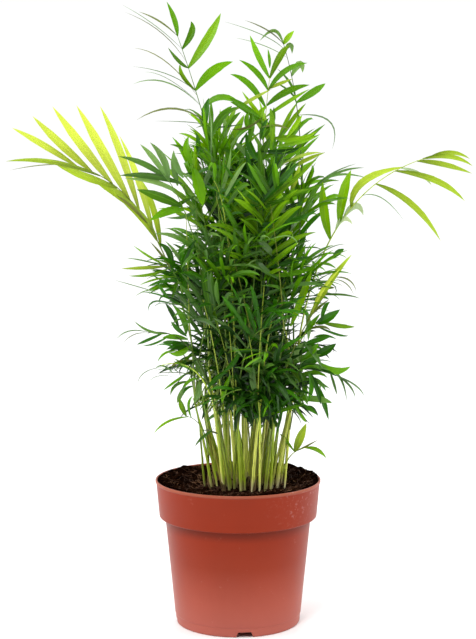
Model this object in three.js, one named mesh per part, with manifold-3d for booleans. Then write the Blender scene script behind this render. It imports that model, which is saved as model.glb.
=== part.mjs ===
// A potted parlour palm: a clump of slender stems, each with a crown of feathered fronds,
// in a round plastic nursery pot filled with potting soil.
// Millimetres, +Z up. The origin is the middle of the pot's flat underside.

import * as THREE from 'three';
import { mergeVertices } from 'three/addons/utils/BufferGeometryUtils.js';
import Module from 'manifold-3d';

const wasm = await Module();
wasm.setup();

// ---------------------------------------------------------------- driving dimensions

// pot
const POT_H = 151;                 // height
const RIM_R = 86;                  // outer radius of the rim: a 17 cm pot
const COLLAR_R = 82;               // outer radius at the collar's lower edge
const COLLAR_Z = 112;              // height of the collar's flat underside
const COLLAR_BEVEL = 1;            // how much its lower edge is rounded off
const BODY_TOP_R = 76;             // outer radius of the body under the collar
const BODY_FOOT_R = 65.2;          // outer radius of the body just above its foot
const FOOT_R = 63.8;               // outer radius of the foot ring's flat
const FOOT_Z = 7;                  // height of the rounded foot
const FOOT_BEVEL = 1.3;            // how much the foot's lowest edge is rounded off
const RIM_BEVEL = 0.5;             // how much the rim's edges are rounded off
const WALL = 1.8;                  // wall thickness
const DISC_R = 40;                 // flat middle of the underside
const CHANNEL_SLOPE = 1.5;         // how far the channel's walls lean
const CHANNEL_R = 60.5;            // outer radius of the drain channel in the underside
const CHANNEL_H = 6;               // depth of that channel
const SIDES = 40;                  // facets round the pot and the soil
const NOTCHES = 4;
const NOTCH_TURN = -84;            // degrees, where the front notch lies
const NOTCH_FOOT_W = 18;
const NOTCH_TOP_W = 13;
const NOTCH_H = 5.6;
const CUT_MARGIN = 1;              // how far a cut runs past the surface

// soil
const SOIL_Z = 143;                // level of the soil round the stems
const SOIL_FLAT_R = 50;            // the soil is level inside this radius
const HEAP_TURN = 45;              // degrees, where the soil is heaped against the rim
const HEAP_H = 3;                  // how much higher it is there
const EDGE_RISE = 3.5;             // how much higher the soil is at the wall than round the stems
const RIPPLE_H = 0.7;              // how uneven the soil is near the wall
const SOIL_EDGE_R = 66;            // the soil's last ring before its edge
const GAP = 0.3;                   // space between pieces that rest on each other

// stems
const STEMS = 28;
const CLUMP_X = 7;                 // middle of the clump
const CLUMP_Y = 0;
const CLUMP_R = 38;
const STEM_LOW = 76;               // shortest stem
const STEM_SPREAD = 50;            // how much taller the tallest is
const STEM_SHORTEN = 12;           // how much shorter a stem at the edge is
const STEM_BOW = 0.35;             // share of its lean that a stem has at half its height
const STEM_FOOT_R = 2.5;           // radius where it leaves the soil
const STEM_R = 2.7;                // radius above that
const STEM_TIP_R = 2.0;
const STEM_SIDES = 6;
const LEAN_IN = 2;                 // degrees, lean of a stem in the middle
const LEAN_OUT = 11;               // degrees, lean of a stem at the edge
const GOLDEN = Math.PI * (3 - Math.sqrt(5));

// fronds
const SHAFT_H = 12;                // leaf sheath that holds the fronds of one stem
const SHAFT_TOP_R = 1.8;
const STALK_R = 1.4;               // radius of a frond's stalk at its foot
const STALK_TIP_R = 0.7;
const STANDOUT_DEPTH = 5;          // how far down in the sheath a standout's stalk starts
const TIER_DEPTH = 4;              // how far down the first tier's does
const TIER_DEEPER = 3;             // how much further down each next tier's does
const LEAF_SEAT = 4.5;             // length of stalk that a leaflet grows from
const LAST_SEAT = 1.6;             // the last leaflets are this many seats from the tip
const LEAF_THICK = 1.1;
const SPINE_STEP = 2.5;            // spacing of the points that clearances are measured at
const SPINE_CLEAR = 5.0;           // least distance between two stalks
const STEM_CLEAR = 6.2;            // least distance between a stalk and another stem
const KIN_LENGTH = 44;             // fronds of one stem may be close for this far
const LEAF_CLEAR = 0.8;            // space kept round a leaflet
const FAT_START = 1.8;             // that space starts this far from the middle of the stalk
const CELL = 14;                   // side of the boxes that nearby triangles are looked up in

// Three tiers of fronds on each stem, from its tallest to its lowest.
// turn: degrees from the stem's own direction; top, rise: lowest tip height and its spread;
// reach, spread: distance of the tip from the clump's middle and its spread; tuck, lift: where the
// stalk bends, as shares of the way out and up; blade: share of the stalk with leaflets;
// leaf, wide: length and width of the longest leaflet; pairs: pairs of leaflets.
const TIERS = [
  {
    turn: 0, top: 418, rise: 84, reach: 40, spread: 32, tuck: 0.14, lift: 0.80,
    blade: 0.54, leaf: 66, wide: 9.5, pairs: 6,
  },
  {
    turn: 75, top: 318, rise: 92, reach: 60, spread: 28, tuck: 0.14, lift: 0.98,
    blade: 0.60, leaf: 60, wide: 8.5, pairs: 5,
  },
  {
    turn: -70, top: 226, rise: 76, reach: 64, spread: 26, tuck: 0.20, lift: 1.20,
    blade: 0.66, leaf: 50, wide: 8, pairs: 4,
  },
];
const LEAST_RISE = 34;             // a drooping frond still rises this far first
const OPEN = 60;                   // degrees between a stalk and its first leaflets
const CLOSING = 0.55;              // how much of that angle is lost at the blade's end
const LAST = 0.7;                  // length of the last leaflets as a share of the longest
const PEAK = 0.3;                  // share of the blade where its longest leaflets are
const FIRST_LOSS = 0.14;           // how much shorter the first leaflets are
const LEAF_MID = 0.45;             // share of a leaflet's length where it is widest
const MID_SAG = 0.02;              // how far it hangs there, as a share of its length
const TIP_SAG = 0.12;              // how far its tip hangs

// How much the fronds of a tier differ, each from its least by a seeded share.
const TURN_SPREAD = 50;            // degrees
const ROLL_SPREAD = 50;
const FOLD_LOW = 14;
const FOLD_SPREAD = 24;
const TWIST_SPREAD = 80;
const TWIST_BACK = 0.3;            // share of the twists that are the other way
const LEAF_LOW = 0.86;             // share of the tier's leaflet length
const LEAF_SPREAD = 0.28;
const TUCK_SPREAD = 0.1;
const LIFT_SPREAD = 0.1;

// Tried in this order until a stalk or a leaflet is clear of what is already there.
const TURNS = [0, 12, -12, 24, -24, 36, -36, 48, -48];        // degrees that a tier's frond is turned
const NUDGES = [0, 5, -5, 10, -10, 15, -15, 20, -20];         // how far a standout is moved back
const LEAF_TRIES = [                                          // degrees raised, share of its length
  [0, 1], [12, 1], [-12, 1], [24, 1], [-24, 1], [0, 0.8], [14, 0.8], [-14, 0.8], [0, 0.62],
];

// Fronds that stand out of the crown. stem: which stem bears it; bend, tip: the stalk's curve;
// aim: degrees, the way its back is turned; roll: degrees that its blade is turned about the stalk;
// for the left and the right row of leaflets, open: degrees between the stalk and the first ones,
// fold: degrees that they are raised, and twist: degrees that they are turned on edge;
// last: length of the last leaflets as a share of the longest.
const STANDOUTS = [
  {
    name: 'top_left', stem: 2, bend: [2, -22, 430], tip: [-61, -20, 607], aim: 180, roll: -80,
    blade: 0.42, leaf: 66, wide: 12, pairs: 6, open: [56, 52], fold: [14, 16], twist: [74, 0],
  },
  {
    name: 'top_right', stem: 8, bend: [88, 12, 466], tip: [46, 10, 600], aim: 180, roll: -80,
    blade: 0.40, leaf: 58, wide: 9, pairs: 6, open: [50, 54], fold: [16, 24], twist: [68, 24],
  },
  {
    name: 'top_middle', stem: 5, bend: [16, 0, 440], tip: [32, -12, 565], aim: 180, roll: -84,
    blade: 0.42, leaf: 56, wide: 10, pairs: 6, open: [50, 50], fold: [16, 16], twist: [0, 0],
  },
  {
    name: 'left_yellow', stem: 17, bend: [-70, 28, 474], tip: [-190, 22, 478], aim: 180, roll: 22,
    blade: 0.70, leaf: 122, wide: 11, pairs: 8, open: [32, 32], fold: [62, 62], twist: [16, 0], last: 0.4,
  },
  {
    name: 'right_arch', stem: 21, bend: [72, -20, 455], tip: [197, -20, 486], aim: 0, roll: 62,
    blade: 0.64, leaf: 84, wide: 11, pairs: 6, open: [42, 70], fold: [8, 14], twist: [0, 10], last: 0.48,
  },
  {
    name: 'left_fan', stem: 12, bend: [-30, -38, 410], tip: [-74, -50, 470], aim: 180, roll: -50,
    blade: 0.42, leaf: 62, wide: 9, pairs: 5, open: [56, 56], fold: [8, 4], twist: [0, 0],
  },
  {
    name: 'left_light', stem: 25, bend: [-46, -30, 372], tip: [-78, -34, 379], aim: 190, roll: -30,
    blade: 0.5, leaf: 56, wide: 8, pairs: 5, open: [44, 44], fold: [14, 14], twist: [10, 10],
  },
  {
    name: 'left_low', stem: 20, bend: [-44, -30, 318], tip: [-92, -20, 306], aim: 180, roll: 10,
    blade: 0.55, leaf: 44, wide: 7, pairs: 5, open: [50, 50], fold: [16, 16], twist: [10, 10],
  },
  {
    name: 'left_small', stem: 22, bend: [-48, 14, 285], tip: [-77, 0, 268], aim: 190, roll: 0,
    blade: 0.55, leaf: 40, wide: 6.5, pairs: 4, open: [56, 56], fold: [16, 16], twist: [20, 20],
  },
  {
    name: 'right_broad', stem: 13, bend: [62, -24, 322], tip: [88, -30, 318], aim: 340, roll: 10,
    blade: 0.5, leaf: 46, wide: 9, pairs: 4, open: [50, 50], fold: [16, 16], twist: [30, 30],
  },
  {
    name: 'right_low', stem: 26, bend: [72, -24, 296], tip: [98, -12, 262], aim: 350, roll: 0,
    blade: 0.62, leaf: 46, wide: 8.5, pairs: 5, open: [56, 56], fold: [16, 16], twist: [20, 20],
  },
  {
    name: 'right_pale', stem: 18, bend: [52, -42, 300], tip: [90, -50, 352], aim: 0, roll: 60,
    blade: 0.36, leaf: 40, wide: 7, pairs: 3, open: [20, 20], fold: [70, 70], twist: [0, 0],
  },
];

// ---------------------------------------------------------------- small helpers

const radians = THREE.MathUtils.degToRad;
const vector = (x, y, z) => new THREE.Vector3(x, y, z);
const mixed = (one, share, two, other) => one.clone().multiplyScalar(share).addScaledVector(two, other);

// Seeded random numbers from 0 to 1.
function stream(seed) {
  let state = (seed * 2654435761) % 4294967296;
  const draw = () => {
    state = (state * 1664525 + 1013904223) % 4294967296;
    return state / 4294967296;
  };
  draw();
  draw();
  draw();
  return draw;
}

// A point and a direction on the curve from foot by bend to tip.
function along(curve, t) {
  const u = 1 - t;
  return vector(0, 0, 0)
    .addScaledVector(curve.foot, u * u)
    .addScaledVector(curve.bend, 2 * u * t)
    .addScaledVector(curve.tip, t * t);
}

function heading(curve, t) {
  return vector(0, 0, 0)
    .addScaledVector(curve.foot, t - 1)
    .addScaledVector(curve.bend, 1 - 2 * t)
    .addScaledVector(curve.tip, t)
    .normalize();
}

// The closed mesh of points and faces as a manifold solid, and back again as a geometry.
function solidFrom(points, faces) {
  const vertProperties = new Float32Array(points.flatMap((p) => [p.x, p.y, p.z]));
  const triVerts = new Uint32Array(faces.flat());
  return new wasm.Manifold(new wasm.Mesh({ numProp: 3, vertProperties, triVerts }));
}

function solidOf(geometry) {
  const bare = geometry.clone();
  bare.deleteAttribute('normal');
  bare.deleteAttribute('uv');
  const merged = mergeVertices(bare, 1e-4);
  const vertProperties = new Float32Array(merged.attributes.position.array);
  const triVerts = new Uint32Array(merged.index.array);
  return new wasm.Manifold(new wasm.Mesh({ numProp: 3, vertProperties, triVerts }));
}

function geometryOf(solid) {
  const mesh = solid.getMesh();
  const geometry = new THREE.BufferGeometry();
  geometry.setAttribute('position', new THREE.BufferAttribute(new Float32Array(mesh.vertProperties), 3));
  geometry.setIndex(new THREE.BufferAttribute(new Uint32Array(mesh.triVerts), 1));
  geometry.computeVertexNormals();
  return geometry;
}

function geometryFrom(points, faces) {
  const geometry = new THREE.BufferGeometry();
  const places = points.flatMap((p) => [p.x, p.y, p.z]);
  geometry.setAttribute('position', new THREE.Float32BufferAttribute(places, 3));
  geometry.setIndex(faces.flat());
  geometry.computeVertexNormals();
  return geometry;
}

// ---------------------------------------------------------------- materials

const plastic = new THREE.MeshStandardMaterial({ color: 0xa5432f, roughness: 0.42, metalness: 0 });
const peat = new THREE.MeshStandardMaterial({ color: 0x2e1d13, roughness: 0.95, metalness: 0 });
const stemGreen = new THREE.MeshStandardMaterial({ color: 0x8aa543, roughness: 0.55, metalness: 0 });
const leafGreen = new THREE.MeshStandardMaterial({ color: 0x2f7d1c, roughness: 0.45, metalness: 0 });
const leafYellow = new THREE.MeshStandardMaterial({ color: 0xb9d63a, roughness: 0.45, metalness: 0 });

// ---------------------------------------------------------------- pot and soil

// A solid turned about the Z axis from a profile of [radius, height] pairs.
function turned(profile) {
  const points = profile.map(([r, z]) => new THREE.Vector2(r, z));
  const geometry = new THREE.LatheGeometry(points, SIDES);
  geometry.rotateX(Math.PI / 2);
  return geometry;
}

// One notch of the foot ring: a bar with slanted sides that runs outwards along X.
function notchBar() {
  const outline = new THREE.Shape();
  const slant = (NOTCH_FOOT_W - NOTCH_TOP_W) / 2 / NOTCH_H;
  const low = NOTCH_FOOT_W / 2 + slant * CUT_MARGIN;
  outline.moveTo(-low, -CUT_MARGIN);
  outline.lineTo(low, -CUT_MARGIN);
  outline.lineTo(NOTCH_TOP_W / 2, NOTCH_H);
  outline.lineTo(-NOTCH_TOP_W / 2, NOTCH_H);
  outline.closePath();
  const start = (DISC_R + CHANNEL_R) / 2;
  const bar = new THREE.ExtrudeGeometry(outline, { depth: RIM_R - start, bevelEnabled: false });
  bar.rotateX(Math.PI / 2);
  bar.rotateZ(Math.PI / 2);
  bar.translate(start, 0, 0);
  return bar;
}

function makePot() {
  const inset = (r) => r - WALL;
  const profile = [
    [0, 0],
    [DISC_R, 0],
    [DISC_R + CHANNEL_SLOPE, CHANNEL_H],
    [CHANNEL_R - CHANNEL_SLOPE, CHANNEL_H],
    [CHANNEL_R, 0],
    [FOOT_R, 0],
    [FOOT_R + 0.8 * FOOT_BEVEL, FOOT_BEVEL],
    [BODY_FOOT_R, FOOT_Z],
    [BODY_TOP_R, COLLAR_Z],
    [COLLAR_R - COLLAR_BEVEL, COLLAR_Z],
    [COLLAR_R, COLLAR_Z + COLLAR_BEVEL],
    [RIM_R, POT_H - 2 * RIM_BEVEL],
    [RIM_R - RIM_BEVEL, POT_H],
    [inset(RIM_R) + 0.4 * RIM_BEVEL, POT_H],
    [inset(RIM_R) - 0.4 * RIM_BEVEL, POT_H - 2 * RIM_BEVEL],
    [inset(COLLAR_R), COLLAR_Z + WALL],
    [inset(BODY_TOP_R), COLLAR_Z + WALL],
    [inset(BODY_FOOT_R), CHANNEL_H + WALL],
    [DISC_R, CHANNEL_H + WALL],
    [DISC_R - CHANNEL_SLOPE, WALL],
    [0, WALL],
  ];
  let pot = solidOf(turned(profile));
  const bar = notchBar();
  for (let i = 0; i < NOTCHES; i += 1) {
    const cut = bar.clone().rotateZ(radians(NOTCH_TURN + (360 / NOTCHES) * i));
    pot = pot.subtract(solidOf(cut));
  }
  return geometryOf(pot);
}

// How far the soil stands above its level at a point near the wall.
function heapAt(turn, share) {
  const near = Math.max(0, Math.cos(turn - radians(HEAP_TURN)));
  const ripple = Math.sin(5 * turn + 1) + 0.6 * Math.sin(9 * turn);
  return share * (EDGE_RISE + HEAP_H * near * near + RIPPLE_H * ripple);
}

function makeSoil() {
  const floor = CHANNEL_H + WALL + GAP;
  const clear = WALL + GAP;
  const slope = (RIM_R - COLLAR_R) / (POT_H - COLLAR_Z);
  const edgeRadius = COLLAR_R - clear + slope * (SOIL_Z - COLLAR_Z) - GAP;
  const profile = [
    [0, floor],
    [BODY_FOOT_R - clear - GAP, floor],
    [BODY_TOP_R - clear - GAP, COLLAR_Z + clear],
    [COLLAR_R - clear - GAP, COLLAR_Z + clear],
    [edgeRadius, SOIL_Z - GAP],
    [SOIL_EDGE_R, SOIL_Z],
    [SOIL_FLAT_R, SOIL_Z],
    [0, SOIL_Z],
  ];
  const soil = turned(profile);
  const spot = soil.attributes.position;
  for (let i = 0; i < spot.count; i += 1) {
    const r = Math.hypot(spot.getX(i), spot.getY(i));
    const turn = Math.atan2(spot.getY(i), spot.getX(i));
    if (spot.getZ(i) > SOIL_Z - 2 * GAP && r > SOIL_FLAT_R + GAP) {
      spot.setZ(i, spot.getZ(i) + heapAt(turn, (r - SOIL_FLAT_R) / (RIM_R - SOIL_FLAT_R)));
    }
  }
  return geometryOf(solidOf(soil));
}

// ---------------------------------------------------------------- stems

// Where a stem stands, which way it leans and how tall it is: an even spiral of stems.
function stemPlan(i) {
  const draw = stream(100 + i);
  const share = Math.sqrt((i + 0.5) / STEMS);
  const turn = i * GOLDEN;
  const lean = radians(LEAN_IN + (LEAN_OUT - LEAN_IN) * share);
  const height = STEM_LOW + STEM_SPREAD * draw() - STEM_SHORTEN * share;
  const way = turn + 0.5 * (draw() - 0.5);
  const girth = 0.85 + 0.3 * draw();
  const x = CLUMP_X + CLUMP_R * share * Math.cos(turn);
  const y = CLUMP_Y + CLUMP_R * share * Math.sin(turn);
  const out = height * Math.tan(lean);
  const foot = vector(x, y, SOIL_Z + GAP);
  const bow = STEM_BOW * out;
  const bend = vector(x + bow * Math.cos(way), y + bow * Math.sin(way), SOIL_Z + 0.5 * height);
  const tip = vector(x + out * Math.cos(way), y + out * Math.sin(way), SOIL_Z + height);
  return { index: i, way, girth, foot, bend, tip };
}

// Level rings of points round the centres, joined and closed with flat ends.
function stackedRings(centres, radii) {
  const sides = STEM_SIDES;
  const points = [];
  const faces = [];
  centres.forEach((centre, j) => {
    for (let k = 0; k < sides; k += 1) {
      const turn = (2 * Math.PI * k) / sides;
      const x = centre.x + radii[j] * Math.cos(turn);
      const y = centre.y + radii[j] * Math.sin(turn);
      points.push(vector(x, y, centre.z));
    }
  });
  for (let j = 0; j + 1 < centres.length; j += 1) {
    for (let k = 0; k < sides; k += 1) {
      const a = j * sides + k;
      const b = j * sides + ((k + 1) % sides);
      faces.push([a, b, b + sides], [a, b + sides, a + sides]);
    }
  }
  const last = (centres.length - 1) * sides;
  for (let k = 1; k + 1 < sides; k += 1) {
    faces.push([0, k + 1, k], [last, last + k, last + k + 1]);
  }
  return { points, faces };
}

function stemShape(plan) {
  const stops = [0, 0.1, 0.4, 0.75, 1];
  const radii = [STEM_FOOT_R, STEM_R, STEM_R, 0.5 * (STEM_R + STEM_TIP_R), STEM_TIP_R];
  return stackedRings(stops.map((t) => along(plan, t)), radii.map((r) => r * plan.girth));
}

// The sheath on top of a stem, just clear of it.
function shaftShape(plan) {
  const foot = plan.tip.clone();
  foot.z += GAP;
  const top = foot.clone().addScaledVector(heading(plan, 1), SHAFT_H);
  return stackedRings([foot, top], [STEM_TIP_R * plan.girth, SHAFT_TOP_R]);
}

// ---------------------------------------------------------------- where the fronds go

// Where a frond's stalk starts, inside the sheath of its stem.
function stalkFoot(stem, depth) {
  const foot = stem.tip.clone().addScaledVector(heading(stem, 1), SHAFT_H - depth);
  foot.z += GAP;
  return foot;
}

function tierPlan(stem, k, turnBy) {
  const tier = TIERS[k];
  const draw = stream(1000 + stem.index * 10 + k);
  const turn = stem.way + radians(tier.turn + TURN_SPREAD * (draw() - 0.5) + turnBy);
  const reach = tier.reach + tier.spread * draw();
  const foot = stalkFoot(stem, TIER_DEPTH + TIER_DEEPER * k);
  const tip = vector(
    CLUMP_X + reach * Math.cos(turn),
    CLUMP_Y + reach * Math.sin(turn),
    tier.top + tier.rise * draw(),
  );
  const tuck = tier.tuck + TUCK_SPREAD * draw();
  const lift = tier.lift + LIFT_SPREAD * draw();
  const bend = vector(
    foot.x + (tip.x - foot.x) * tuck,
    foot.y + (tip.y - foot.y) * tuck,
    foot.z + Math.max((tip.z - foot.z) * lift, LEAST_RISE),
  );
  const fold = FOLD_LOW + FOLD_SPREAD * draw();
  return {
    stem: stem.index,
    foot,
    bend,
    tip,
    blade: tier.blade,
    leaf: tier.leaf * (LEAF_LOW + LEAF_SPREAD * draw()),
    wide: tier.wide,
    pairs: tier.pairs,
    open: [OPEN, OPEN],
    last: LAST,
    aim: Math.atan2(tip.y - foot.y, tip.x - foot.x),
    roll: ROLL_SPREAD * (draw() - 0.5),
    fold: [fold, fold],
    twist: [TWIST_SPREAD * (draw() - TWIST_BACK), TWIST_SPREAD * (draw() - TWIST_BACK)],
  };
}

// Points along a stalk, with the length from its foot.
function spinePoints(curve) {
  const rough = curve.foot.distanceTo(curve.bend) + curve.bend.distanceTo(curve.tip);
  const count = Math.ceil(rough / SPINE_STEP);
  const list = [];
  let run = 0;
  for (let i = 0; i <= count; i += 1) {
    const point = along(curve, i / count);
    if (i > 0) run += point.distanceTo(list[i - 1].point);
    list.push({ point, run });
  }
  return list;
}

// Is this stalk clear of the stems and of the stalks that are already placed?
function isClear(plan, stems, placed) {
  const mine = spinePoints(plan);
  for (const stem of stems) {
    if (stem.index === plan.stem) continue;
    for (const other of spinePoints(stem)) {
      if (mine.some((m) => m.point.distanceTo(other.point) < STEM_CLEAR)) return false;
    }
    const sheath = stem.tip.clone().addScaledVector(heading(stem, 1), SHAFT_H);
    if (mine.some((m) => m.point.distanceTo(sheath) < STEM_CLEAR)) return false;
  }
  for (const rival of placed) {
    const from = rival.stem === plan.stem ? KIN_LENGTH : 0;
    const near = mine.filter((m) => m.run >= from);
    for (const other of rival.spine) {
      if (other.run < from) continue;
      if (near.some((m) => m.point.distanceTo(other.point) < SPINE_CLEAR)) return false;
    }
  }
  return true;
}

function planFronds(stems) {
  const placed = [];
  const keep = (plan) => placed.push({ ...plan, spine: spinePoints(plan) });
  for (const wish of STANDOUTS) {
    for (const nudge of NUDGES) {
      const foot = stalkFoot(stems[wish.stem], STANDOUT_DEPTH);
      const bend = vector(wish.bend[0], wish.bend[1] + nudge, wish.bend[2]);
      const tip = vector(wish.tip[0], wish.tip[1] + 0.5 * nudge, wish.tip[2]);
      const plan = { last: LAST, ...wish, foot, bend, tip, aim: radians(wish.aim) };
      if (isClear(plan, stems, placed)) {
        keep(plan);
        break;
      }
    }
  }
  const taken = new Set(STANDOUTS.map((wish) => wish.stem));
  TIERS.forEach((tier, k) => {
    for (const stem of stems) {
      if (k === 0 && taken.has(stem.index)) continue;
      for (const turnBy of TURNS) {
        const plan = tierPlan(stem, k, turnBy);
        if (isClear(plan, stems, placed)) {
          keep(plan);
          break;
        }
      }
    }
  });
  return placed;
}

// ---------------------------------------------------------------- leaflets

// The corners of a stalk's section, and the two rows of leaflets.
const LEFT = 0;
const RIGHT = 1;
const UNDER = 2;

// The directions at a point of a frond: along its stalk, to its left, and out of its upper face.
function frameAt(plan, t) {
  const ahead = heading(plan, t);
  const flat = vector(-Math.sin(plan.aim), Math.cos(plan.aim), 0);
  const side = flat.addScaledVector(ahead, -flat.dot(ahead)).normalize();
  const face = ahead.clone().cross(side);
  const turn = radians(plan.roll);
  const left = mixed(side, Math.cos(turn), face, Math.sin(turn));
  return { ahead, left, face: ahead.clone().cross(left) };
}

// One leaflet: where it sits, the directions of its base and its middle, and its tip.
// raise: degrees that it is lifted from its usual place; size: share of its usual length.
function leafletShape(plan, t, share, sideways, raise, size) {
  const { ahead, left, face } = frameAt(plan, t);
  const row = sideways > 0 ? LEFT : RIGHT;
  const spread = radians(plan.open[row] * (1 - CLOSING * share));
  const fold = radians(plan.fold[row] + raise);
  const outward = mixed(left, sideways * Math.cos(fold), face, Math.sin(fold));
  const way = mixed(ahead, Math.cos(spread), outward, Math.sin(spread));
  const fromPeak = share < PEAK ? (PEAK - share) / PEAK : (share - PEAK) / (1 - PEAK);
  const loss = share < PEAK ? FIRST_LOSS : 1 - plan.last;
  const length = plan.leaf * size * (1 - loss * fromPeak * fromPeak);
  const half = 0.5 * plan.wide * Math.sqrt(length / plan.leaf);
  const broad = ahead.clone().addScaledVector(way, -ahead.dot(way)).normalize();
  const normal = way.clone().cross(broad).multiplyScalar(-sideways);
  const twist = radians(plan.twist[row]);
  const edge = mixed(broad, Math.cos(twist), normal, Math.sin(twist));
  const keel = way.clone().cross(edge).multiplyScalar(sideways);
  const seat = along(plan, t);
  const mid = seat.clone().addScaledVector(way, LEAF_MID * length);
  mid.z -= MID_SAG * length;
  const tip = seat.clone().addScaledVector(way, length);
  tip.z -= TIP_SAG * length;
  const under = way.clone().cross(ahead).normalize().multiplyScalar(sideways);
  return { seat, ahead, under, way, edge, keel, half, mid, tip };
}

// A slightly fatter copy of a leaflet's surface, as triangles, to test for clearance.
// Each of its sides is split both ways, because the leaflet's own sides may be split either way.
function fatLeaflet(leaf) {
  const ring = (centre, edge, half, keel, depth) => [
    centre.clone().addScaledVector(edge, half),
    centre.clone().addScaledVector(keel, depth),
    centre.clone().addScaledVector(edge, -half),
    centre.clone().addScaledVector(keel, -depth),
  ];
  const start = leaf.seat.clone().addScaledVector(leaf.way, FAT_START);
  const low = ring(start, leaf.ahead, 0.5 * LEAF_SEAT + LEAF_CLEAR, leaf.under, LEAF_THICK);
  const high = ring(leaf.mid, leaf.edge, leaf.half + LEAF_CLEAR, leaf.keel, LEAF_THICK + LEAF_CLEAR);
  const point = leaf.tip.clone().addScaledVector(leaf.way, LEAF_CLEAR);
  const triangles = [];
  for (let k = 0; k < 4; k += 1) {
    const n = (k + 1) % 4;
    triangles.push([low[k], low[n], high[n]], [low[k], high[n], high[k]]);
    triangles.push([low[k], low[n], high[k]], [low[n], high[n], high[k]]);
    triangles.push([high[k], high[n], point]);
  }
  return triangles;
}

// Does the segment from p to q pass through the triangle?
function pierces(p, q, [a, b, c]) {
  const dir = q.clone().sub(p);
  const e1 = b.clone().sub(a);
  const e2 = c.clone().sub(a);
  const h = dir.clone().cross(e2);
  const det = e1.dot(h);
  if (Math.abs(det) < 1e-12) return false;
  const s = p.clone().sub(a);
  const u = s.dot(h) / det;
  if (u < 0 || u > 1) return false;
  const w = s.cross(e1);
  const v = dir.dot(w) / det;
  if (v < 0 || u + v > 1) return false;
  const t = e2.dot(w) / det;
  return t >= 0 && t <= 1;
}

function trianglesMeet(one, two) {
  for (let k = 0; k < 3; k += 1) {
    if (pierces(one[k], one[(k + 1) % 3], two)) return true;
    if (pierces(two[k], two[(k + 1) % 3], one)) return true;
  }
  return false;
}

// A grid of boxes that holds every triangle placed so far, with the name of its owner.
class Surroundings {
  constructor(cell) {
    this.cell = cell;
    this.boxes = new Map();
  }

  *keysOf(triangle) {
    const box = new THREE.Box3().setFromPoints(triangle);
    const low = box.min.divideScalar(this.cell).floor();
    const high = box.max.divideScalar(this.cell).floor();
    for (let x = low.x; x <= high.x; x += 1) {
      for (let y = low.y; y <= high.y; y += 1) {
        for (let z = low.z; z <= high.z; z += 1) yield `${x},${y},${z}`;
      }
    }
  }

  add(triangle, owner) {
    for (const key of this.keysOf(triangle)) {
      if (!this.boxes.has(key)) this.boxes.set(key, []);
      this.boxes.get(key).push({ triangle, owner });
    }
  }

  meets(triangles, isOwn) {
    for (const triangle of triangles) {
      for (const key of this.keysOf(triangle)) {
        for (const item of this.boxes.get(key) ?? []) {
          if (!isOwn(item.owner) && trianglesMeet(triangle, item.triangle)) return true;
        }
      }
    }
    return false;
  }
}

// ---------------------------------------------------------------- fronds

// The places along a stalk where its mesh has a ring: bare stalk, then leaflet seats.
function stationsOf(plan) {
  const length = plan.spine[plan.spine.length - 1].run;
  const seat = LEAF_SEAT / length;
  const start = 1 - plan.blade;
  const stations = [{ t: 0 }, { t: start / 3 }, { t: (start * 2) / 3 }];
  const last = 1 - LAST_SEAT * seat;
  for (let j = 0; j < plan.pairs; j += 1) {
    const share = j / (plan.pairs - 1);
    const t = start + (last - start) * share;
    stations.push({ t: t - seat / 2, share, middle: t }, { t: t + seat / 2 });
  }
  return stations;
}

// The stalk's rings: left and right of the upper face, and the keel below.
function stalkRings(plan, stations) {
  const points = [];
  for (const { t } of stations) {
    const { left, face } = frameAt(plan, t);
    const centre = along(plan, t);
    const r = STALK_R + (STALK_TIP_R - STALK_R) * t;
    for (const turn of [150, 30, 270]) {
      const out = mixed(left, -r * Math.cos(radians(turn)), face, r * Math.sin(radians(turn)));
      points.push(centre.clone().add(out));
    }
  }
  points.push(plan.tip.clone());
  return points;
}

// The stalk without leaflets, as triangles, for the surroundings.
function stalkTriangles(points, stations) {
  const triangles = [];
  for (let j = 0; j + 1 < stations.length; j += 1) {
    for (let k = 0; k < 3; k += 1) {
      const a = 3 * j + k;
      const b = 3 * j + ((k + 1) % 3);
      triangles.push([points[a], points[b], points[b + 3]], [points[a], points[b + 3], points[a + 3]]);
    }
  }
  const last = 3 * (stations.length - 1);
  const tip = points[3 * stations.length];
  for (let k = 0; k < 3; k += 1) triangles.push([points[last + k], points[last + ((k + 1) % 3)], tip]);
  return triangles;
}

// The two triangles of a four-cornered face, split so that it bulges outwards.
function bulging(points, a, b, c, d) {
  const corner = points[a];
  const normal = points[b].clone().sub(corner).cross(points[c].clone().sub(corner));
  const isBehind = normal.dot(points[d].clone().sub(corner)) < 0;
  return isBehind ? [[a, b, c], [a, c, d]] : [[b, c, d], [b, d, a]];
}

// Faces of a leaflet that grows from the four corners of its seat on the stalk.
function leafletFaces(points, leaf, near, far, row) {
  const back = points.length;
  const front = back + 1;
  const keel = back + 2;
  const tip = back + 3;
  points.push(leaf.mid.clone().addScaledVector(leaf.edge, -leaf.half));
  points.push(leaf.mid.clone().addScaledVector(leaf.edge, leaf.half));
  points.push(leaf.mid.clone().addScaledVector(leaf.keel, LEAF_THICK));
  points.push(leaf.tip.clone());
  const quad = (...corners) => bulging(points, ...corners);
  if (row === RIGHT) {
    return [
      ...quad(near + RIGHT, near + UNDER, keel, back),
      ...quad(far + UNDER, far + RIGHT, front, keel),
      ...quad(far + RIGHT, near + RIGHT, back, front),
      [near + UNDER, far + UNDER, keel],
      [back, keel, tip], [keel, front, tip], [front, back, tip],
    ];
  }
  return [
    ...quad(near + UNDER, near + LEFT, back, keel),
    ...quad(far + LEFT, far + UNDER, keel, front),
    ...quad(near + LEFT, far + LEFT, front, back),
    [far + UNDER, near + UNDER, keel],
    [keel, back, tip], [back, front, tip], [front, keel, tip],
  ];
}

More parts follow.
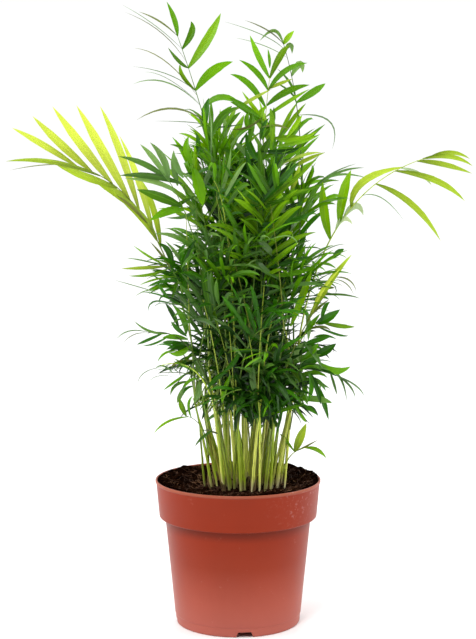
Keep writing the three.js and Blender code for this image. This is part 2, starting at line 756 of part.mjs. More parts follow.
// Tries a leaflet in its usual place, then raised, lowered or shorter, and skips it if none is clear.
function fitLeaflet(plan, station, sideways, surroundings, own) {
  for (const [raise, size] of LEAF_TRIES) {
    const leaf = leafletShape(plan, station.middle, station.share, sideways, raise, size);
    const isOwn = (owner) => owner === own || owner === `${own} at ${station.middle}`;
    if (!surroundings.meets(fatLeaflet(leaf), isOwn)) return leaf;
  }
  return null;
}

// The whole frond as points and faces: a three-sided stalk with leaflets on both sides.
function frondShape(plan, points, stations, surroundings, own) {
  const faces = [[LEFT, UNDER, RIGHT]];
  for (let j = 0; j + 1 < stations.length; j += 1) {
    const near = 3 * j;
    const far = near + 3;
    faces.push([near + LEFT, near + RIGHT, far + RIGHT], [near + LEFT, far + RIGHT, far + LEFT]);
    for (const row of [LEFT, RIGHT]) {
      const isSeat = stations[j].middle !== undefined;
      const leaf = isSeat ? fitLeaflet(plan, stations[j], row === LEFT ? 1 : -1, surroundings, own) : null;
      if (leaf) {
        const added = leafletFaces(points, leaf, near, far, row);
        faces.push(...added);
        const owner = `${own} at ${stations[j].middle}`;
        for (const face of added) surroundings.add(face.map((n) => points[n]), owner);
      } else if (row === LEFT) {
        faces.push([near + UNDER, near + LEFT, far + LEFT], [near + UNDER, far + LEFT, far + UNDER]);
      } else {
        faces.push([near + RIGHT, near + UNDER, far + UNDER], [near + RIGHT, far + UNDER, far + RIGHT]);
      }
    }
  }
  const last = 3 * (stations.length - 1);
  const tip = 3 * stations.length;
  faces.push([last + LEFT, last + RIGHT, tip]);
  faces.push([last + RIGHT, last + UNDER, tip]);
  faces.push([last + UNDER, last + LEFT, tip]);
  return { points, faces };
}

// ---------------------------------------------------------------- the plant

const palm = new THREE.Group();

function addPiece(name, geometry, material) {
  const mesh = new THREE.Mesh(geometry, material);
  mesh.name = name;
  palm.add(mesh);
}

const number = (i) => String(i + 1).padStart(2, '0');

addPiece('pot', makePot(), plastic);
addPiece('soil', makeSoil(), peat);

const stems = Array.from({ length: STEMS }, (_, i) => stemPlan(i));
const surroundings = new Surroundings(CELL);
const sheaths = stems.map((stem) => shaftShape(stem));

for (const stem of stems) {
  const { points, faces } = stemShape(stem);
  addPiece(`stem_${number(stem.index)}`, geometryFrom(points, faces), stemGreen);
  for (const shape of [{ points, faces }, sheaths[stem.index]]) {
    for (const face of shape.faces) surroundings.add(face.map((n) => shape.points[n]), 'stem');
  }
}

const fronds = planFronds(stems).map((plan, i) => {
  const stations = stationsOf(plan);
  const points = stalkRings(plan, stations);
  for (const triangle of stalkTriangles(points, stations)) surroundings.add(triangle, `frond ${i}`);
  return { plan, stations, points };
});

const shapes = fronds.map(({ plan, stations, points }, i) => ({
  stem: plan.stem,
  ...frondShape(plan, points, stations, surroundings, `frond ${i}`),
}));

const youngest = STANDOUTS.find((wish) => wish.name === 'left_yellow');

for (const stem of stems) {
  let crown = solidFrom(sheaths[stem.index].points, sheaths[stem.index].faces);
  for (const shape of shapes.filter((item) => item.stem === stem.index)) {
    crown = crown.add(solidFrom(shape.points, shape.faces));
  }
  const isYoung = stem.index === youngest.stem;
  addPiece(`fronds_${number(stem.index)}`, geometryOf(crown), isYoung ? leafYellow : leafGreen);
}

export default palm;
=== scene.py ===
"""A potted parlour palm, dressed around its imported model.

The stems and fronds grow by the same rule as the solids: the same seeds, curves and clearances,
worked out again here in millimetres and carried on to finer leaflets. Meshes are made in metres.
"""
import math

import bpy
import numpy as np
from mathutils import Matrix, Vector, noise


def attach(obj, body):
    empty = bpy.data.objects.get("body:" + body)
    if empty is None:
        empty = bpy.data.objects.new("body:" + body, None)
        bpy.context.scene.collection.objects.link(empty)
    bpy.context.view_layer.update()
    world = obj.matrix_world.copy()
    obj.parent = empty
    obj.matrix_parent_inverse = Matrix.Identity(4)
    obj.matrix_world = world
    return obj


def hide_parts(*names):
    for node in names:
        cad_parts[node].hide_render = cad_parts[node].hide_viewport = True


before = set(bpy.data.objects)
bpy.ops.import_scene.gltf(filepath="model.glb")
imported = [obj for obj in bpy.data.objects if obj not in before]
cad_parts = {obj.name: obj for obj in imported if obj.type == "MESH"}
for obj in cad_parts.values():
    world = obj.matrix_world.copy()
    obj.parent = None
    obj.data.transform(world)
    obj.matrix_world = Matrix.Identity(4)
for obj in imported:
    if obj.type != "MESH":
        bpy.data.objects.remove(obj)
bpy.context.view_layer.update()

MM = 0.001

# -------- sizes, as in the solids

POT_H = 151.0
RIM_R = 86.0
COLLAR_R = 82.0
COLLAR_Z = 112.0
BODY_TOP_R = 76.0
BODY_FOOT_R = 65.2
FOOT_R = 63.8
FOOT_Z = 7.0
FOOT_BEVEL = 1.3
COLLAR_BEVEL = 1.0
WALL = 1.8
DISC_R = 40.0
CHANNEL_SLOPE = 1.5
CHANNEL_R = 60.5
CHANNEL_H = 6.0
NOTCHES = 4
NOTCH_TURN = -84.0
NOTCH_FOOT_W = 18.0
NOTCH_TOP_W = 13.0
NOTCH_H = 5.6

SOIL_Z = 143.0
SOIL_FLAT_R = 50.0
HEAP_TURN = 45.0
HEAP_H = 3.0
EDGE_RISE = 3.5
RIPPLE_H = 0.7
GAP = 0.3

STEMS = 28
CLUMP_X = 7.0
CLUMP_Y = 0.0
CLUMP_R = 38.0
STEM_LOW = 76.0
STEM_SPREAD = 50.0
STEM_SHORTEN = 12.0
STEM_BOW = 0.35
STEM_FOOT_R = 2.5
STEM_R = 2.7
LEAN_IN = 2.0
LEAN_OUT = 11.0
GOLDEN = math.pi * (3 - math.sqrt(5))

SHAFT_H = 12.0
STANDOUT_DEPTH = 5.0
TIER_DEPTH = 4.0
TIER_DEEPER = 3.0
STALK_R = 1.4
SPINE_STEP = 2.5
SPINE_CLEAR = 5.0
STEM_CLEAR = 6.2
KIN_LENGTH = 44.0
LEAST_RISE = 34.0
OPEN = 60.0
CLOSING = 0.55
LAST = 0.7
PEAK = 0.3
FIRST_LOSS = 0.14
TURN_SPREAD = 50.0
ROLL_SPREAD = 50.0
FOLD_LOW = 14.0
FOLD_SPREAD = 24.0
TWIST_SPREAD = 80.0
TWIST_BACK = 0.3
LEAF_LOW = 0.86
LEAF_SPREAD = 0.28
TUCK_SPREAD = 0.1
LIFT_SPREAD = 0.1
TURNS = (0, 12, -12, 24, -24, 36, -36, 48, -48)
NUDGES = (0, 5, -5, 10, -10, 15, -15, 20, -20)

TIERS = [
    dict(turn=0, top=418, rise=84, reach=40, spread=32, tuck=0.14, lift=0.80,
         blade=0.54, leaf=66, wide=9.5, pairs=6),
    dict(turn=75, top=318, rise=92, reach=60, spread=28, tuck=0.14, lift=0.98,
         blade=0.60, leaf=60, wide=8.5, pairs=5),
    dict(turn=-70, top=226, rise=76, reach=64, spread=26, tuck=0.20, lift=1.20,
         blade=0.66, leaf=50, wide=8, pairs=4),
]

# Fronds that stand out of the crown: the stem that bears each, the points that its curve goes by and
# ends at, and the share of its stalk that bears leaflets. Their leaflets are in POSED.
STANDOUTS = [
    dict(name="top_left", stem=2, bend=(2, -22, 430), tip=(-61, -20, 607), blade=0.42),
    dict(name="top_right", stem=8, bend=(88, 12, 466), tip=(46, 10, 600), blade=0.40),
    dict(name="top_middle", stem=5, bend=(16, 0, 440), tip=(32, -12, 565), blade=0.42),
    dict(name="left_yellow", stem=17, bend=(-70, 28, 474), tip=(-190, 22, 478), blade=0.70),
    dict(name="right_arch", stem=21, bend=(72, -20, 455), tip=(197, -20, 486), blade=0.64),
    dict(name="left_fan", stem=12, bend=(-30, -38, 410), tip=(-74, -50, 470), blade=0.42),
    dict(name="left_light", stem=25, bend=(-46, -30, 372), tip=(-78, -34, 379), blade=0.5),
    dict(name="left_low", stem=20, bend=(-44, -30, 318), tip=(-92, -20, 306), blade=0.55),
    dict(name="left_small", stem=22, bend=(-48, 14, 285), tip=(-77, 0, 268), blade=0.55),
    dict(name="right_broad", stem=13, bend=(62, -24, 322), tip=(88, -30, 318), blade=0.5),
    dict(name="right_low", stem=26, bend=(72, -24, 296), tip=(98, -12, 262), blade=0.62),
    dict(name="right_pale", stem=18, bend=(52, -42, 300), tip=(90, -50, 352), blade=0.36),
]

# -------- sizes of the finer growth

LEAF_ROWS = 10  # points along a leaflet
LEAF_ACROSS = np.array([-1, 0, 0, 1])  # points across it; the two at the rib keep its fold sharp
CUP = 0.45  # how far a leaflet's edges stand above its rib, by its half width
CURL_FROM = 0.45  # share of a leaflet's length from where its end may roll under

# How the fronds of a tier are carried on. more: leaflets beside the solid's; size and slim: their
# length and width beside the solid's; hang: how far they droop; wild: how unevenly they stand; curl:
# share of them whose ends roll under; gone: share of them that are missing.
STYLES = {
    "tier_0": dict(more=1.8, size=0.97, slim=0.62, hang=0.50, wild=0.95, curl=0.10, gone=0.06),
    "tier_1": dict(more=1.75, size=0.94, slim=0.58, hang=0.60, wild=1.05, curl=0.10, gone=0.06),
    "tier_2": dict(more=1.75, size=0.88, slim=0.68, hang=0.75, wild=1.4, curl=0.12, gone=0.06),
}
SKIRT_R = (50.0, 76.0)  # beyond this from the clump's middle, low down and at the skirt's
SKIRT_Z = (240.0, 300.0)  # shoulder, leaflets are fewer and slimmer
SKIRT_TOP = 335.0
SKIRT_GONE = 0.5
SKIRT_SLIM = 0.6
BARE = [(-4.0, 280.0), (-42.0, 298.0)]  # left of this and below this height few leaflets hide the stems
BARE_GONE = 0.8
OPEN_X = -36.0  # to the left of this and above this height the crown is thinner
OPEN_Z = 395.0
OPEN_GONE = 0.5

# Leaflets that stand clear of the crown, each with a place of its own. x and z of its foot, middle and
# tip as seen from the front, its width, how many degrees it is turned from facing front, its tint.
POSED_SNAP = 9.0  # within this of its frond's stalk, such a leaflet starts on it
POSED_DEPTH = 0.5  # how far such a leaflet may point to the front or back, by its length
POSED = {
    "top_left": [
        (-61, 604, -63, 621, -71, 639, 5.5, 10, "green"), (-56, 593, -46, 608, -47, 620, 7.5, 20, "green"),
        (-49, 574, -30, 601, -17, 627, 10, 15, "bright"), (-43, 551, -26, 571, -5, 580, 10, -20, "green"),
        (-39, 530, -17, 544, 6, 535, 8, 35, "green"), (-34, 516, -32, 530, -29, 544, 8, 20, "dark"),
        (-61, 605, -78, 620, -99, 629, 7, 76, "olive"), (-56, 593, -84, 617, -118, 638, 4, 80, "grey"),
        (-49, 580, -78, 610, -115, 630, 4, 78, "olive"), (-49, 573, -59, 581, -70, 594, 5, 40, "green"),
        (-44, 552, -55, 566, -58, 578, 5, 30, "bright"), (-44, 545, -73, 581, -105, 594, 5, 77, "olive"),
        (-44, 549, -69, 567, -106, 575, 4, 78, "grey"), (-42, 535, -72, 560, -106, 558, 6, 76, "grey"),
        (-41, 538, -70, 563, -95, 570, 3, 78, "grey"), (-38, 520, -66, 534, -102, 522, 7, 72, "olive"),
        (-37, 516, -49, 520, -86, 521, 4, 78, "grey"),
    ],
    "top_right": [
        (46, 599, 30, 613, 6, 623, 6, 78, "olive"), (48, 592, 26, 607, -16, 621, 4, 80, "grey"),
        (51, 585, 26, 598, -4, 606, 4, 80, "grey"), (44, 600, 37, 613, 22, 602, 6, 55, "silver"),
        (46, 599, 51, 605, 57, 612, 6, 15, "bright"), (48, 592, 53, 597, 55, 589, 7, 40, "silver"),
        (54, 566, 63, 578, 66, 570, 8, 20, "silver"), (66, 540, 77, 550, 89, 559, 8, 20, "green"),
        (64, 544, 54, 559, 40, 574, 4, 50, "grey"), (65, 537, 53, 551, 32, 562, 4, 60, "grey"),
        (67, 528, 94, 520, 97, 492, 7, 74, "grey"), (67, 527, 60, 518, 49, 505, 6, 20, "bright"),
    ],
    "top_middle": [
        (32, 568, 21, 586, 12, 607, 6.5, 20, "green"), (32, 574, 32, 583, 30, 593, 4, 40, "green"),
        (32, 568, 42, 586, 52, 597, 7.5, -20, "bright"), (30, 552, 19, 570, 1, 582, 6, 20, "green"),
        (31, 552, 48, 571, 70, 579, 6, 15, "green"), (32, 553, 42, 558, 55, 563, 4, 20, "lime"),
        (28, 534, 12, 558, -8, 568, 7, 25, "green"), (29, 536, 49, 551, 72, 557, 7.5, -20, "green"),
        (26, 525, 49, 539, 72, 553, 4.5, 20, "bright"), (25, 521, 17, 534, 4, 551, 5, 30, "bright"),
    ],
    "left_yellow": [
        (-143, 464, -191, 480, -238, 480, 7, 40, "lime"), (-170, 474, -202, 476, -238, 470, 5, 76, "olive"),
        (-166, 476, -201, 497, -234, 514, 8, 25, "yellow"),
        (-152, 469, -183, 498, -213, 526, 10, 25, "yellow"),
        (-131, 456, -162, 497, -193, 536, 10.5, 20, "yellow"),
        (-112, 439, -139, 491, -166, 537, 11, 20, "yellow"),
        (-99, 428, -120, 489, -141, 536, 9, 25, "yellow"), (-82, 409, -101, 459, -121, 506, 8, 30, "yellow"),
        (-74, 393, -87, 430, -103, 463, 8, 30, "lime"), (-128, 449, -156, 464, -188, 476, 9, 20, "lime"),
        (-100, 425, -126, 447, -160, 466, 9.5, 20, "lime"), (-80, 400, -102, 426, -134, 452, 9, 20, "lime"),
        (-92, 416, -108, 432, -126, 446, 4, 20, "olive"),
    ],
    "right_arch": [
        (91, 402, 88, 431, 86, 460, 10, 20, "bright"), (101, 419, 107, 447, 114, 472, 10.5, 20, "bright"),
        (114, 436, 128, 460, 169, 475, 9, 35, "lime"), (139, 458, 175, 437, 204, 401, 7, 20, "lime"),
        (159, 470, 199, 461, 228, 441, 7, 20, "lime"), (165, 472, 182, 468, 196, 456, 5, 40, "pale"),
        (180, 479, 208, 477, 238, 468, 6, 20, "lime"), (187, 481, 213, 485, 236, 476, 5.5, 25, "lime"),
        (194, 486, 215, 489, 234, 483, 5, 30, "lime"), (105, 426, 119, 435, 127, 426, 8, 30, "pale"),
        (96, 413, 107, 422, 116, 417, 6, 30, "pale"), (123, 449, 146, 443, 168, 420, 5, 77, "grey"),
    ],
    "left_fan": [
        (-66, 463, -91, 478, -119, 486, 6.5, 20, "grey"), (-66, 464, -82, 483, -97, 498, 6.5, 25, "silver"),
        (-65, 464, -73, 483, -87, 500, 7.5, 20, "silver"), (-54, 465, -61, 478, -64, 491, 7, 20, "silver"),
        (-55, 459, -86, 467, -118, 467, 7, 20, "grey"), (-54, 454, -82, 460, -113, 464, 5.5, -25, "silver"),
        (-53, 437, -77, 446, -101, 453, 10, 15, "green"), (-53, 433, -71, 432, -88, 422, 9, 20, "green"),
    ],
    "right_pale": [
        (53, 316, 65, 346, 74, 372, 8, 20, "bright"), (62, 325, 92, 358, 115, 387, 7, 30, "lime"),
        (68, 333, 84, 351, 103, 375, 5, 45, "yellow"),
    ],
    "sprig_left": [
        (-51, 219, -72, 215, -87, 201, 4.5, 45, "bright"), (-53, 221, -57, 231, -60, 240, 6, 15, "bright"),
        (-48, 218, -50, 233, -46, 243, 4, 40, "green"), (-36, 206, -25, 204, -15, 200, 2.5, 50, "olive"),
    ],
    "sprig_right": [
        (54, 189, 64, 198, 70, 214, 9, 20, "lime"), (54, 189, 49, 196, 43, 202, 4, 30, "bright"),
        (69, 187, 81, 185, 91, 176, 5, 35, "bright"), (59, 184, 70, 189, 82, 196, 3, 60, "olive"),
    ],
    "left_light": [
        (-72, 375, -94, 375, -117, 374, 4.5, 30, "lime"), (-72, 371, -89, 367, -111, 365, 4, 30, "bright"),
        (-73, 374, -89, 386, -105, 397, 3.5, 40, "bright"), (-71, 374, -95, 381, -113, 383, 3, 55, "grey"),
        (-63, 365, -83, 363, -99, 357, 3, 40, "bright"), (-61, 372, -76, 386, -89, 400, 4, 45, "olive"),
        (-60, 376, -69, 390, -80, 399, 7, 20, "dark"), (-54, 376, -57, 388, -53, 398, 7, 20, "dark"),
        (-50, 374, -48, 388, -42, 398, 6, 30, "green"), (-79, 348, -103, 355, -126, 361, 4, 70, "grey"),
        (-81, 351, -93, 351, -104, 345, 3, 65, "grey"), (-70, 343, -76, 351, -82, 360, 4, 30, "dark"),
        (-60, 313, -66, 327, -74, 337, 6, 30, "dark"),
    ],
    "left_low": [
        (-90, 309, -110, 309, -124, 300, 4, 66, "grey"), (-92, 308, -106, 305, -117, 296, 3, 68, "olive"),
        (-72, 303, -90, 310, -105, 320, 4.5, 45, "grey"), (-76, 302, -92, 300, -103, 295, 4, 30, "dark"),
        (-70, 301, -84, 297, -97, 294, 4, 50, "dark"), (-61, 289, -74, 287, -82, 277, 4.5, 50, "green"),
        (-58, 294, -68, 298, -77, 297, 6, 35, "dark"),
    ],
    "left_small": [
        (-83, 267, -96, 263, -104, 251, 3, 68, "grey"), (-67, 261, -77, 269, -86, 266, 5, 60, "grey"),
        (-65, 256, -83, 257, -94, 249, 3, 70, "grey"), (-50, 265, -56, 269, -67, 275, 4.5, 40, "green"),
        (-54, 255, -67, 250, -78, 241, 4, 40, "green"), (-50, 251, -65, 247, -71, 235, 4.5, 35, "green"),
        (-46, 246, -56, 242, -61, 229, 4.5, 35, "dark"),
    ],
    "right_broad": [
        (80, 315, 91, 323, 103, 332, 9, 15, "dark"), (84, 327, 88, 333, 93, 339, 5, 30, "dark"),
        (85, 316, 103, 314, 119, 313, 5, 20, "bright"), (81, 309, 99, 306, 112, 305, 4, 55, "dark"),
        (78, 283, 89, 288, 100, 296, 9, 15, "dark"), (77, 302, 88, 304, 100, 301, 4, 50, "dark"),
        (96, 384, 101, 389, 107, 393, 6, 20, "dark"), (97, 364, 112, 361, 120, 349, 4, 68, "olive"),
        (99, 362, 110, 357, 117, 346, 3, 70, "olive"), (81, 352, 90, 353, 98, 353, 4, 30, "olive"),
        (76, 341, 84, 344, 92, 342, 4, 40, "dark"),
    ],
    "right_low": [
        (80, 270, 98, 267, 115, 272, 8, 20, "green"), (87, 264, 105, 258, 112, 234, 5, 62, "grey"),
        (90, 262, 113, 252, 121, 237, 5, 66, "grey"), (105, 260, 120, 251, 130, 239, 4, 68, "grey"),
        (90, 264, 98, 253, 102, 241, 5, 55, "grey"), (80, 253, 87, 236, 93, 216, 6, 20, "dark"),
        (72, 259, 82, 256, 90, 246, 5, 30, "dark"), (68, 227, 76, 227, 83, 218, 4, 40, "dark"),
    ],
    "upper_left": [
        (-26, 506, -17, 523, -6, 536, 9, 15, "green"), (10, 512, 9, 522, 11, 531, 5.5, 25, "green"),
        (-8, 511, -5, 522, 3, 530, 5, 30, "green"), (-33, 514, -13, 515, 6, 518, 3, 60, "dark"),
        (-16, 502, -12, 514, -14, 525, 6, 35, "silver"), (-18, 492, -27, 504, -31, 518, 5, 30, "green"),
    ],
    "upper_right": [
        (19, 518, 8, 533, -8, 540, 6.5, 20, "green"), (-6, 530, 14, 542, 34, 553, 5, 40, "lime"),
        (33, 504, 34, 519, 36, 535, 6.5, 20, "green"), (19, 520, 23, 528, 29, 536, 6.5, 20, "bright"),
        (34, 503, 51, 504, 70, 504, 6, 20, "bright"), (24, 515, 38, 516, 51, 513, 3.5, 50, "olive"),
        (24, 502, 26, 510, 33, 516, 5, 25, "green"), (46, 483, 56, 488, 67, 496, 5, 30, "green"),
        (47, 477, 60, 482, 72, 491, 4, 40, "bright"),
    ],
    "front_fan": [
        (18, 440, 13, 471, 7, 497, 6, 20, "dark"), (20, 439, 23, 471, 19, 500, 6, 15, "green"),
        (22, 439, 33, 468, 38, 495, 6, -20, "dark"), (24, 438, 44, 463, 60, 481, 7, 20, "dark"),
        (25, 437, 53, 461, 80, 488, 5, 30, "bright"), (25, 433, 51, 447, 88, 460, 6, 30, "green"),
        (23, 416, 47, 424, 64, 444, 8, 20, "dark"), (16, 440, 2, 457, -16, 483, 5, 25, "dark"),
        (16, 437, -2, 443, -24, 453, 5, 35, "dark"), (17, 431, 5, 429, -12, 418, 6, 30, "deep"),
        (20, 422, 23, 406, 16, 388, 8, 20, "green"), (27, 419, 53, 422, 81, 435, 6, 35, "dark"),
        (52, 453, 57, 463, 61, 479, 6, 25, "lime"), (36, 496, 61, 500, 81, 508, 5, 30, "bright"),
        (43, 478, 64, 487, 82, 490, 4, 40, "lime"),
    ],
    "side_fan": [
        (-50, 478, -51, 492, -49, 506, 7, 15, "green"), (-60, 457, -63, 475, -64, 492, 7, 20, "silver"),
        (-45, 475, -39, 455, -35, 437, 12, 20, "green"), (-43, 482, -39, 496, -42, 510, 6, 30, "dark"),
        (-38, 468, -24, 475, -12, 471, 5, 40, "dark"), (-40, 461, -22, 453, -2, 453, 5, 40, "dark"),
        (-48, 447, -66, 435, -78, 424, 6, 35, "green"), (-38, 437, -52, 427, -72, 425, 5, 40, "grey"),
        (-42, 490, -28, 482, -24, 465, 5, 30, "green"),
    ],
    "mid_fan": [
        (5, 382, -1, 398, -4, 416, 5, 25, "green"), (5, 382, 9, 397, 12, 413, 5, 25, "green"),
        (11, 386, 24, 376, 42, 365, 7, 30, "grey"), (19, 404, 28, 396, 37, 385, 7, 25, "silver"),
        (44, 354, 66, 359, 91, 357, 5, 40, "grey"), (14, 344, 30, 350, 48, 356, 5, 40, "grey"),
        (-26, 322, -31, 352, -36, 382, 7, 20, "green"), (-19, 314, -25, 338, -28, 364, 5, 30, "bright"),
        (29, 382, 45, 392, 61, 408, 7, 30, "dark"), (31, 376, 53, 382, 73, 388, 6, 35, "dark"),
        (33, 368, 57, 370, 79, 378, 6, 30, "green"), (31, 364, 24, 344, 12, 328, 6, 30, "deep"),
        (-13, 382, -26, 378, -35, 362, 5, 35, "dark"), (-10, 374, -18, 360, -20, 342, 6, 30, "dark"),
        (-42, 404, -53, 386, -55, 368, 6, 30, "dark"),
    ],
    "right_mass": [
        (65, 300, 76, 288, 86, 272, 6, 25, "grey"), (69, 331, 71, 316, 71, 300, 6, 25, "silver"),
        (58, 299, 59, 289, 63, 277, 6, 25, "silver"), (64, 309, 74, 316, 83, 328, 6, 30, "green"),
        (62, 296, 79, 300, 95, 305, 6, 30, "dark"), (62, 289, 75, 293, 85, 292, 6, 30, "dark"),
        (66, 280, 75, 289, 81, 298, 7, 30, "green"), (68, 272, 75, 278, 83, 284, 8, 20, "dark"),
        (66, 269, 59, 256, 53, 242, 7, 30, "green"), (69, 268, 67, 254, 61, 239, 6, 30, "green"),
        (72, 267, 74, 253, 70, 237, 6, 30, "dark"), (74, 266, 80, 250, 84, 235, 6, 30, "dark"),
        (63, 260, 51, 250, 44, 235, 6, 30, "deep"), (53, 269, 60, 259, 54, 247, 6, 25, "bright"),
        (63, 238, 81, 239, 96, 235, 7, 25, "grey"), (55, 231, 69, 231, 81, 223, 5, 30, "dark"),
        (53, 227, 65, 221, 70, 215, 4, 35, "green"), (71, 323, 80, 332, 92, 342, 4, 50, "olive"),
        (72, 311, 84, 314, 94, 310, 4, 50, "olive"),
    ],
    "left_mass": [
        (-54, 300, -65, 304, -77, 302, 7, 30, "green"), (-51, 297, -61, 296, -73, 290, 6, 30, "dark"),
        (-49, 294, -59, 287, -70, 287, 7, 25, "green"), (-53, 304, -61, 312, -68, 319, 6, 30, "dark"),
        (-49, 308, -55, 322, -67, 337, 7, 20, "green"), (-47, 287, -54, 279, -64, 269, 5, 40, "green"),
        (-43, 283, -39, 271, -37, 261, 7, 20, "silver"), (-41, 257, -41, 246, -45, 234, 7, 25, "silver"),
        (-53, 277, -61, 277, -68, 271, 5, 40, "olive"), (-43, 267, -53, 273, -66, 278, 5, 40, "green"),
        (-39, 261, -51, 257, -58, 246, 5, 40, "green"), (-55, 252, -60, 242, -62, 234, 5, 30, "silver"),
        (-61, 371, -55, 357, -59, 345, 6, 30, "dark"), (-67, 343, -63, 351, -61, 361, 5, 20, "green"),
    ],
    "crown_top": [
        (-8, 543, 6, 535, 24, 523, 6, 25, "green"), (11, 500, 14, 516, 13, 533, 7, 20, "green"),
        (32, 533, 34, 516, 34, 497, 6, 15, "bright"), (24, 514, 38, 517, 52, 512, 3, 60, "olive"),
        (48, 504, 57, 516, 64, 527, 5, 20, "bright"), (38, 503, 59, 502, 79, 511, 6, 20, "bright"),
        (30, 491, 47, 490, 62, 495, 6, 30, "dark"), (21, 481, 13, 494, 8, 510, 8, 20, "dark"),
        (20, 481, 27, 493, 32, 505, 8, 20, "green"), (27, 481, 41, 490, 58, 494, 7, 30, "green"),
        (-11, 482, -9, 493, -12, 506, 7, 25, "green"), (8, 486, 3, 495, -4, 499, 6, 30, "silver"),
        (3, 481, -7, 491, -18, 493, 6, 30, "green"), (24, 525, 9, 515, -7, 513, 4, 50, "olive"),
        (50, 472, 68, 482, 87, 490, 5, 35, "lime"), (-26, 504, -17, 523, 1, 535, 8, 25, "green"),
        (-2, 502, 5, 511, 14, 514, 6, 30, "green"), (24, 502, 25, 514, 31, 524, 5, 30, "dark"),
    ],
    "low_fan": [
        (24, 225, 10, 237, -2, 255, 4.5, 30, "dark"), (24, 225, 8, 233, -7, 243, 4, 30, "deep"),
        (24, 225, 32, 241, 44, 255, 4.5, 30, "dark"), (25, 225, 42, 237, 59, 250, 4.5, 30, "dark"),
        (25, 224, 46, 233, 66, 239, 4.5, 30, "green"), (24, 226, 18, 241, 14, 259, 4.5, 30, "green"),
        (24, 226, 28, 243, 30, 260, 4.5, 30, "dark"), (24, 225, 12, 225, 2, 229, 4, 30, "deep"),
        (9, 277, 14, 264, 19, 245, 7, 25, "silver"), (14, 269, 26, 271, 37, 264, 5, 30, "grey"),
        (17, 275, 20, 284, 25, 292, 7, 20, "green"), (-5, 318, 11, 313, 25, 301, 6, 25, "grey"),
        (2, 294, -5, 282, -16, 272, 6, 30, "dark"), (6, 304, 20, 306, 32, 299, 6, 30, "dark"),
        (44, 302, 38, 288, 39, 272, 7, 25, "dark"), (-10, 272, -22, 266, -32, 253, 6, 30, "dark"),
        (-8, 268, -14, 253, -16, 239, 6, 30, "green"),
    ],
    "petiole": [],
    "right_back": [
        (83, 454, 105, 468, 131, 473, 5, 60, "grey"), (76, 450, 100, 465, 135, 462, 5, 60, "grey"),
        (70, 445, 87, 457, 106, 459, 5, 50, "green"), (64, 440, 91, 462, 124, 477, 4, 65, "grey"),
    ],
}

# Thin side shoots that the solids leave out.
SPRIGS = [
    dict(name="sprig_left", stem=25, foot=(-31, -16, 178), bend=(-32, -22, 216), tip=(-53, -24, 221)),
    dict(name="sprig_right", stem=26, foot=(46, -18, 160), bend=(52, -22, 187), tip=(71, -24, 188)),
    dict(name="right_back", stem=24, foot=(45, 28, 390), bend=(56, 26, 434), tip=(87, 24, 457)),
    dict(name="upper_left", stem=4, foot=(-12, -20, 400), bend=(-14, -24, 482), tip=(-12, -24, 514)),
    dict(name="upper_right", stem=10, foot=(30, -20, 400), bend=(26, -20, 482), tip=(24, -20, 522)),
    dict(name="front_fan", stem=7, foot=(12, -40, 312), bend=(18, -52, 383), tip=(21, -56, 443)),
    dict(name="side_fan", stem=9, foot=(-34, -30, 311), bend=(-39, -40, 393), tip=(-45, -44, 482)),
    dict(name="mid_fan", stem=15, foot=(12, -40, 271), bend=(11, -56, 334), tip=(20, -58, 394)),
    dict(name="right_mass", stem=23, foot=(53, -24, 207), bend=(60, -32, 249), tip=(68, -34, 311)),
    dict(name="crown_top", stem=6, foot=(18, -30, 402), bend=(20, -38, 473), tip=(24, -40, 525)),
    dict(name="low_fan", stem=16, foot=(23, -50, 198), bend=(23, -56, 240), tip=(11, -58, 307)),
    dict(name="petiole", stem=9, foot=(12, -54, 313), bend=(6, -60, 354), tip=(-22, -56, 447)),
    dict(name="petiole", stem=12, foot=(0, -46, 216), bend=(-6, -56, 271), tip=(-21, -58, 322)),
    dict(name="petiole", stem=16, foot=(-4, -48, 221), bend=(-4, -58, 274), tip=(-10, -60, 326)),
    dict(name="petiole", stem=13, foot=(20, -56, 248), bend=(21, -62, 299), tip=(26, -62, 359)),
    dict(name="petiole", stem=3, foot=(-49, -40, 312), bend=(-50, -44, 373), tip=(-52, -42, 433)),
    dict(name="petiole", stem=18, foot=(46, -54, 313), bend=(42, -60, 374), tip=(32, -60, 439)),
    dict(name="petiole", stem=6, foot=(-16, -50, 242), bend=(-22, -56, 294), tip=(-35, -54, 344)),
    dict(name="left_mass", stem=14, foot=(-31, -20, 206), bend=(-37, -26, 259), tip=(-53, -26, 306)),
]
STALK_SCALE = 0.75  # thickness of a frond's stalk beside the solid's
SPRIG_SCALE = 0.6  # and of a side shoot's
SPRIG_BLADE = 0.7  # share of such a stalk that bears leaflets

# Small extra fronds between the tiers: their tier, how far round the stem they stand, their size, how
# far out they reach beside the tier's, how much lower they stand, and the x from where stems bear them.
YOUNG = [
    (0, 140, 0.85, 0.75, 12, 4), (1, 165, 0.80, 0.80, 0, -99), (2, 150, 0.85, 0.62, 0, -99),
    (2, 250, 0.80, 0.40, 0, -99), (2, 60, 0.75, 0.30, 5, -99), (2, -160, 0.80, 0.60, 30, 8),
]
YOUNG_STALK = 0.6  # thickness of their stalks beside the solid's, before their size

# Small fronds that hang in front of the stems: the places of their tips.
LOW_TIPS = [(4, -46, 250), (18, -52, 238), (32, -50, 246), (46, -44, 236), (26, -46, 262), (10, -42, 236),
            (54, -34, 246), (38, -50, 258), (34, -34, 232)]
LOW_LEAF = 44.0
LOW_WIDE = 8.5
LOW_RISE = 32.0  # how far above its tip such a frond bends over
LOW_FROM = 0.8  # how far up its stem it starts
LOW_BLADE = 0.75
LOW_PAIRS = 5
LOW_FOLD = 10
LOW_TWIST = 10
LOW_STALK = 0.5

# -------- growth rule, in millimetres

TAU = 2 * math.pi

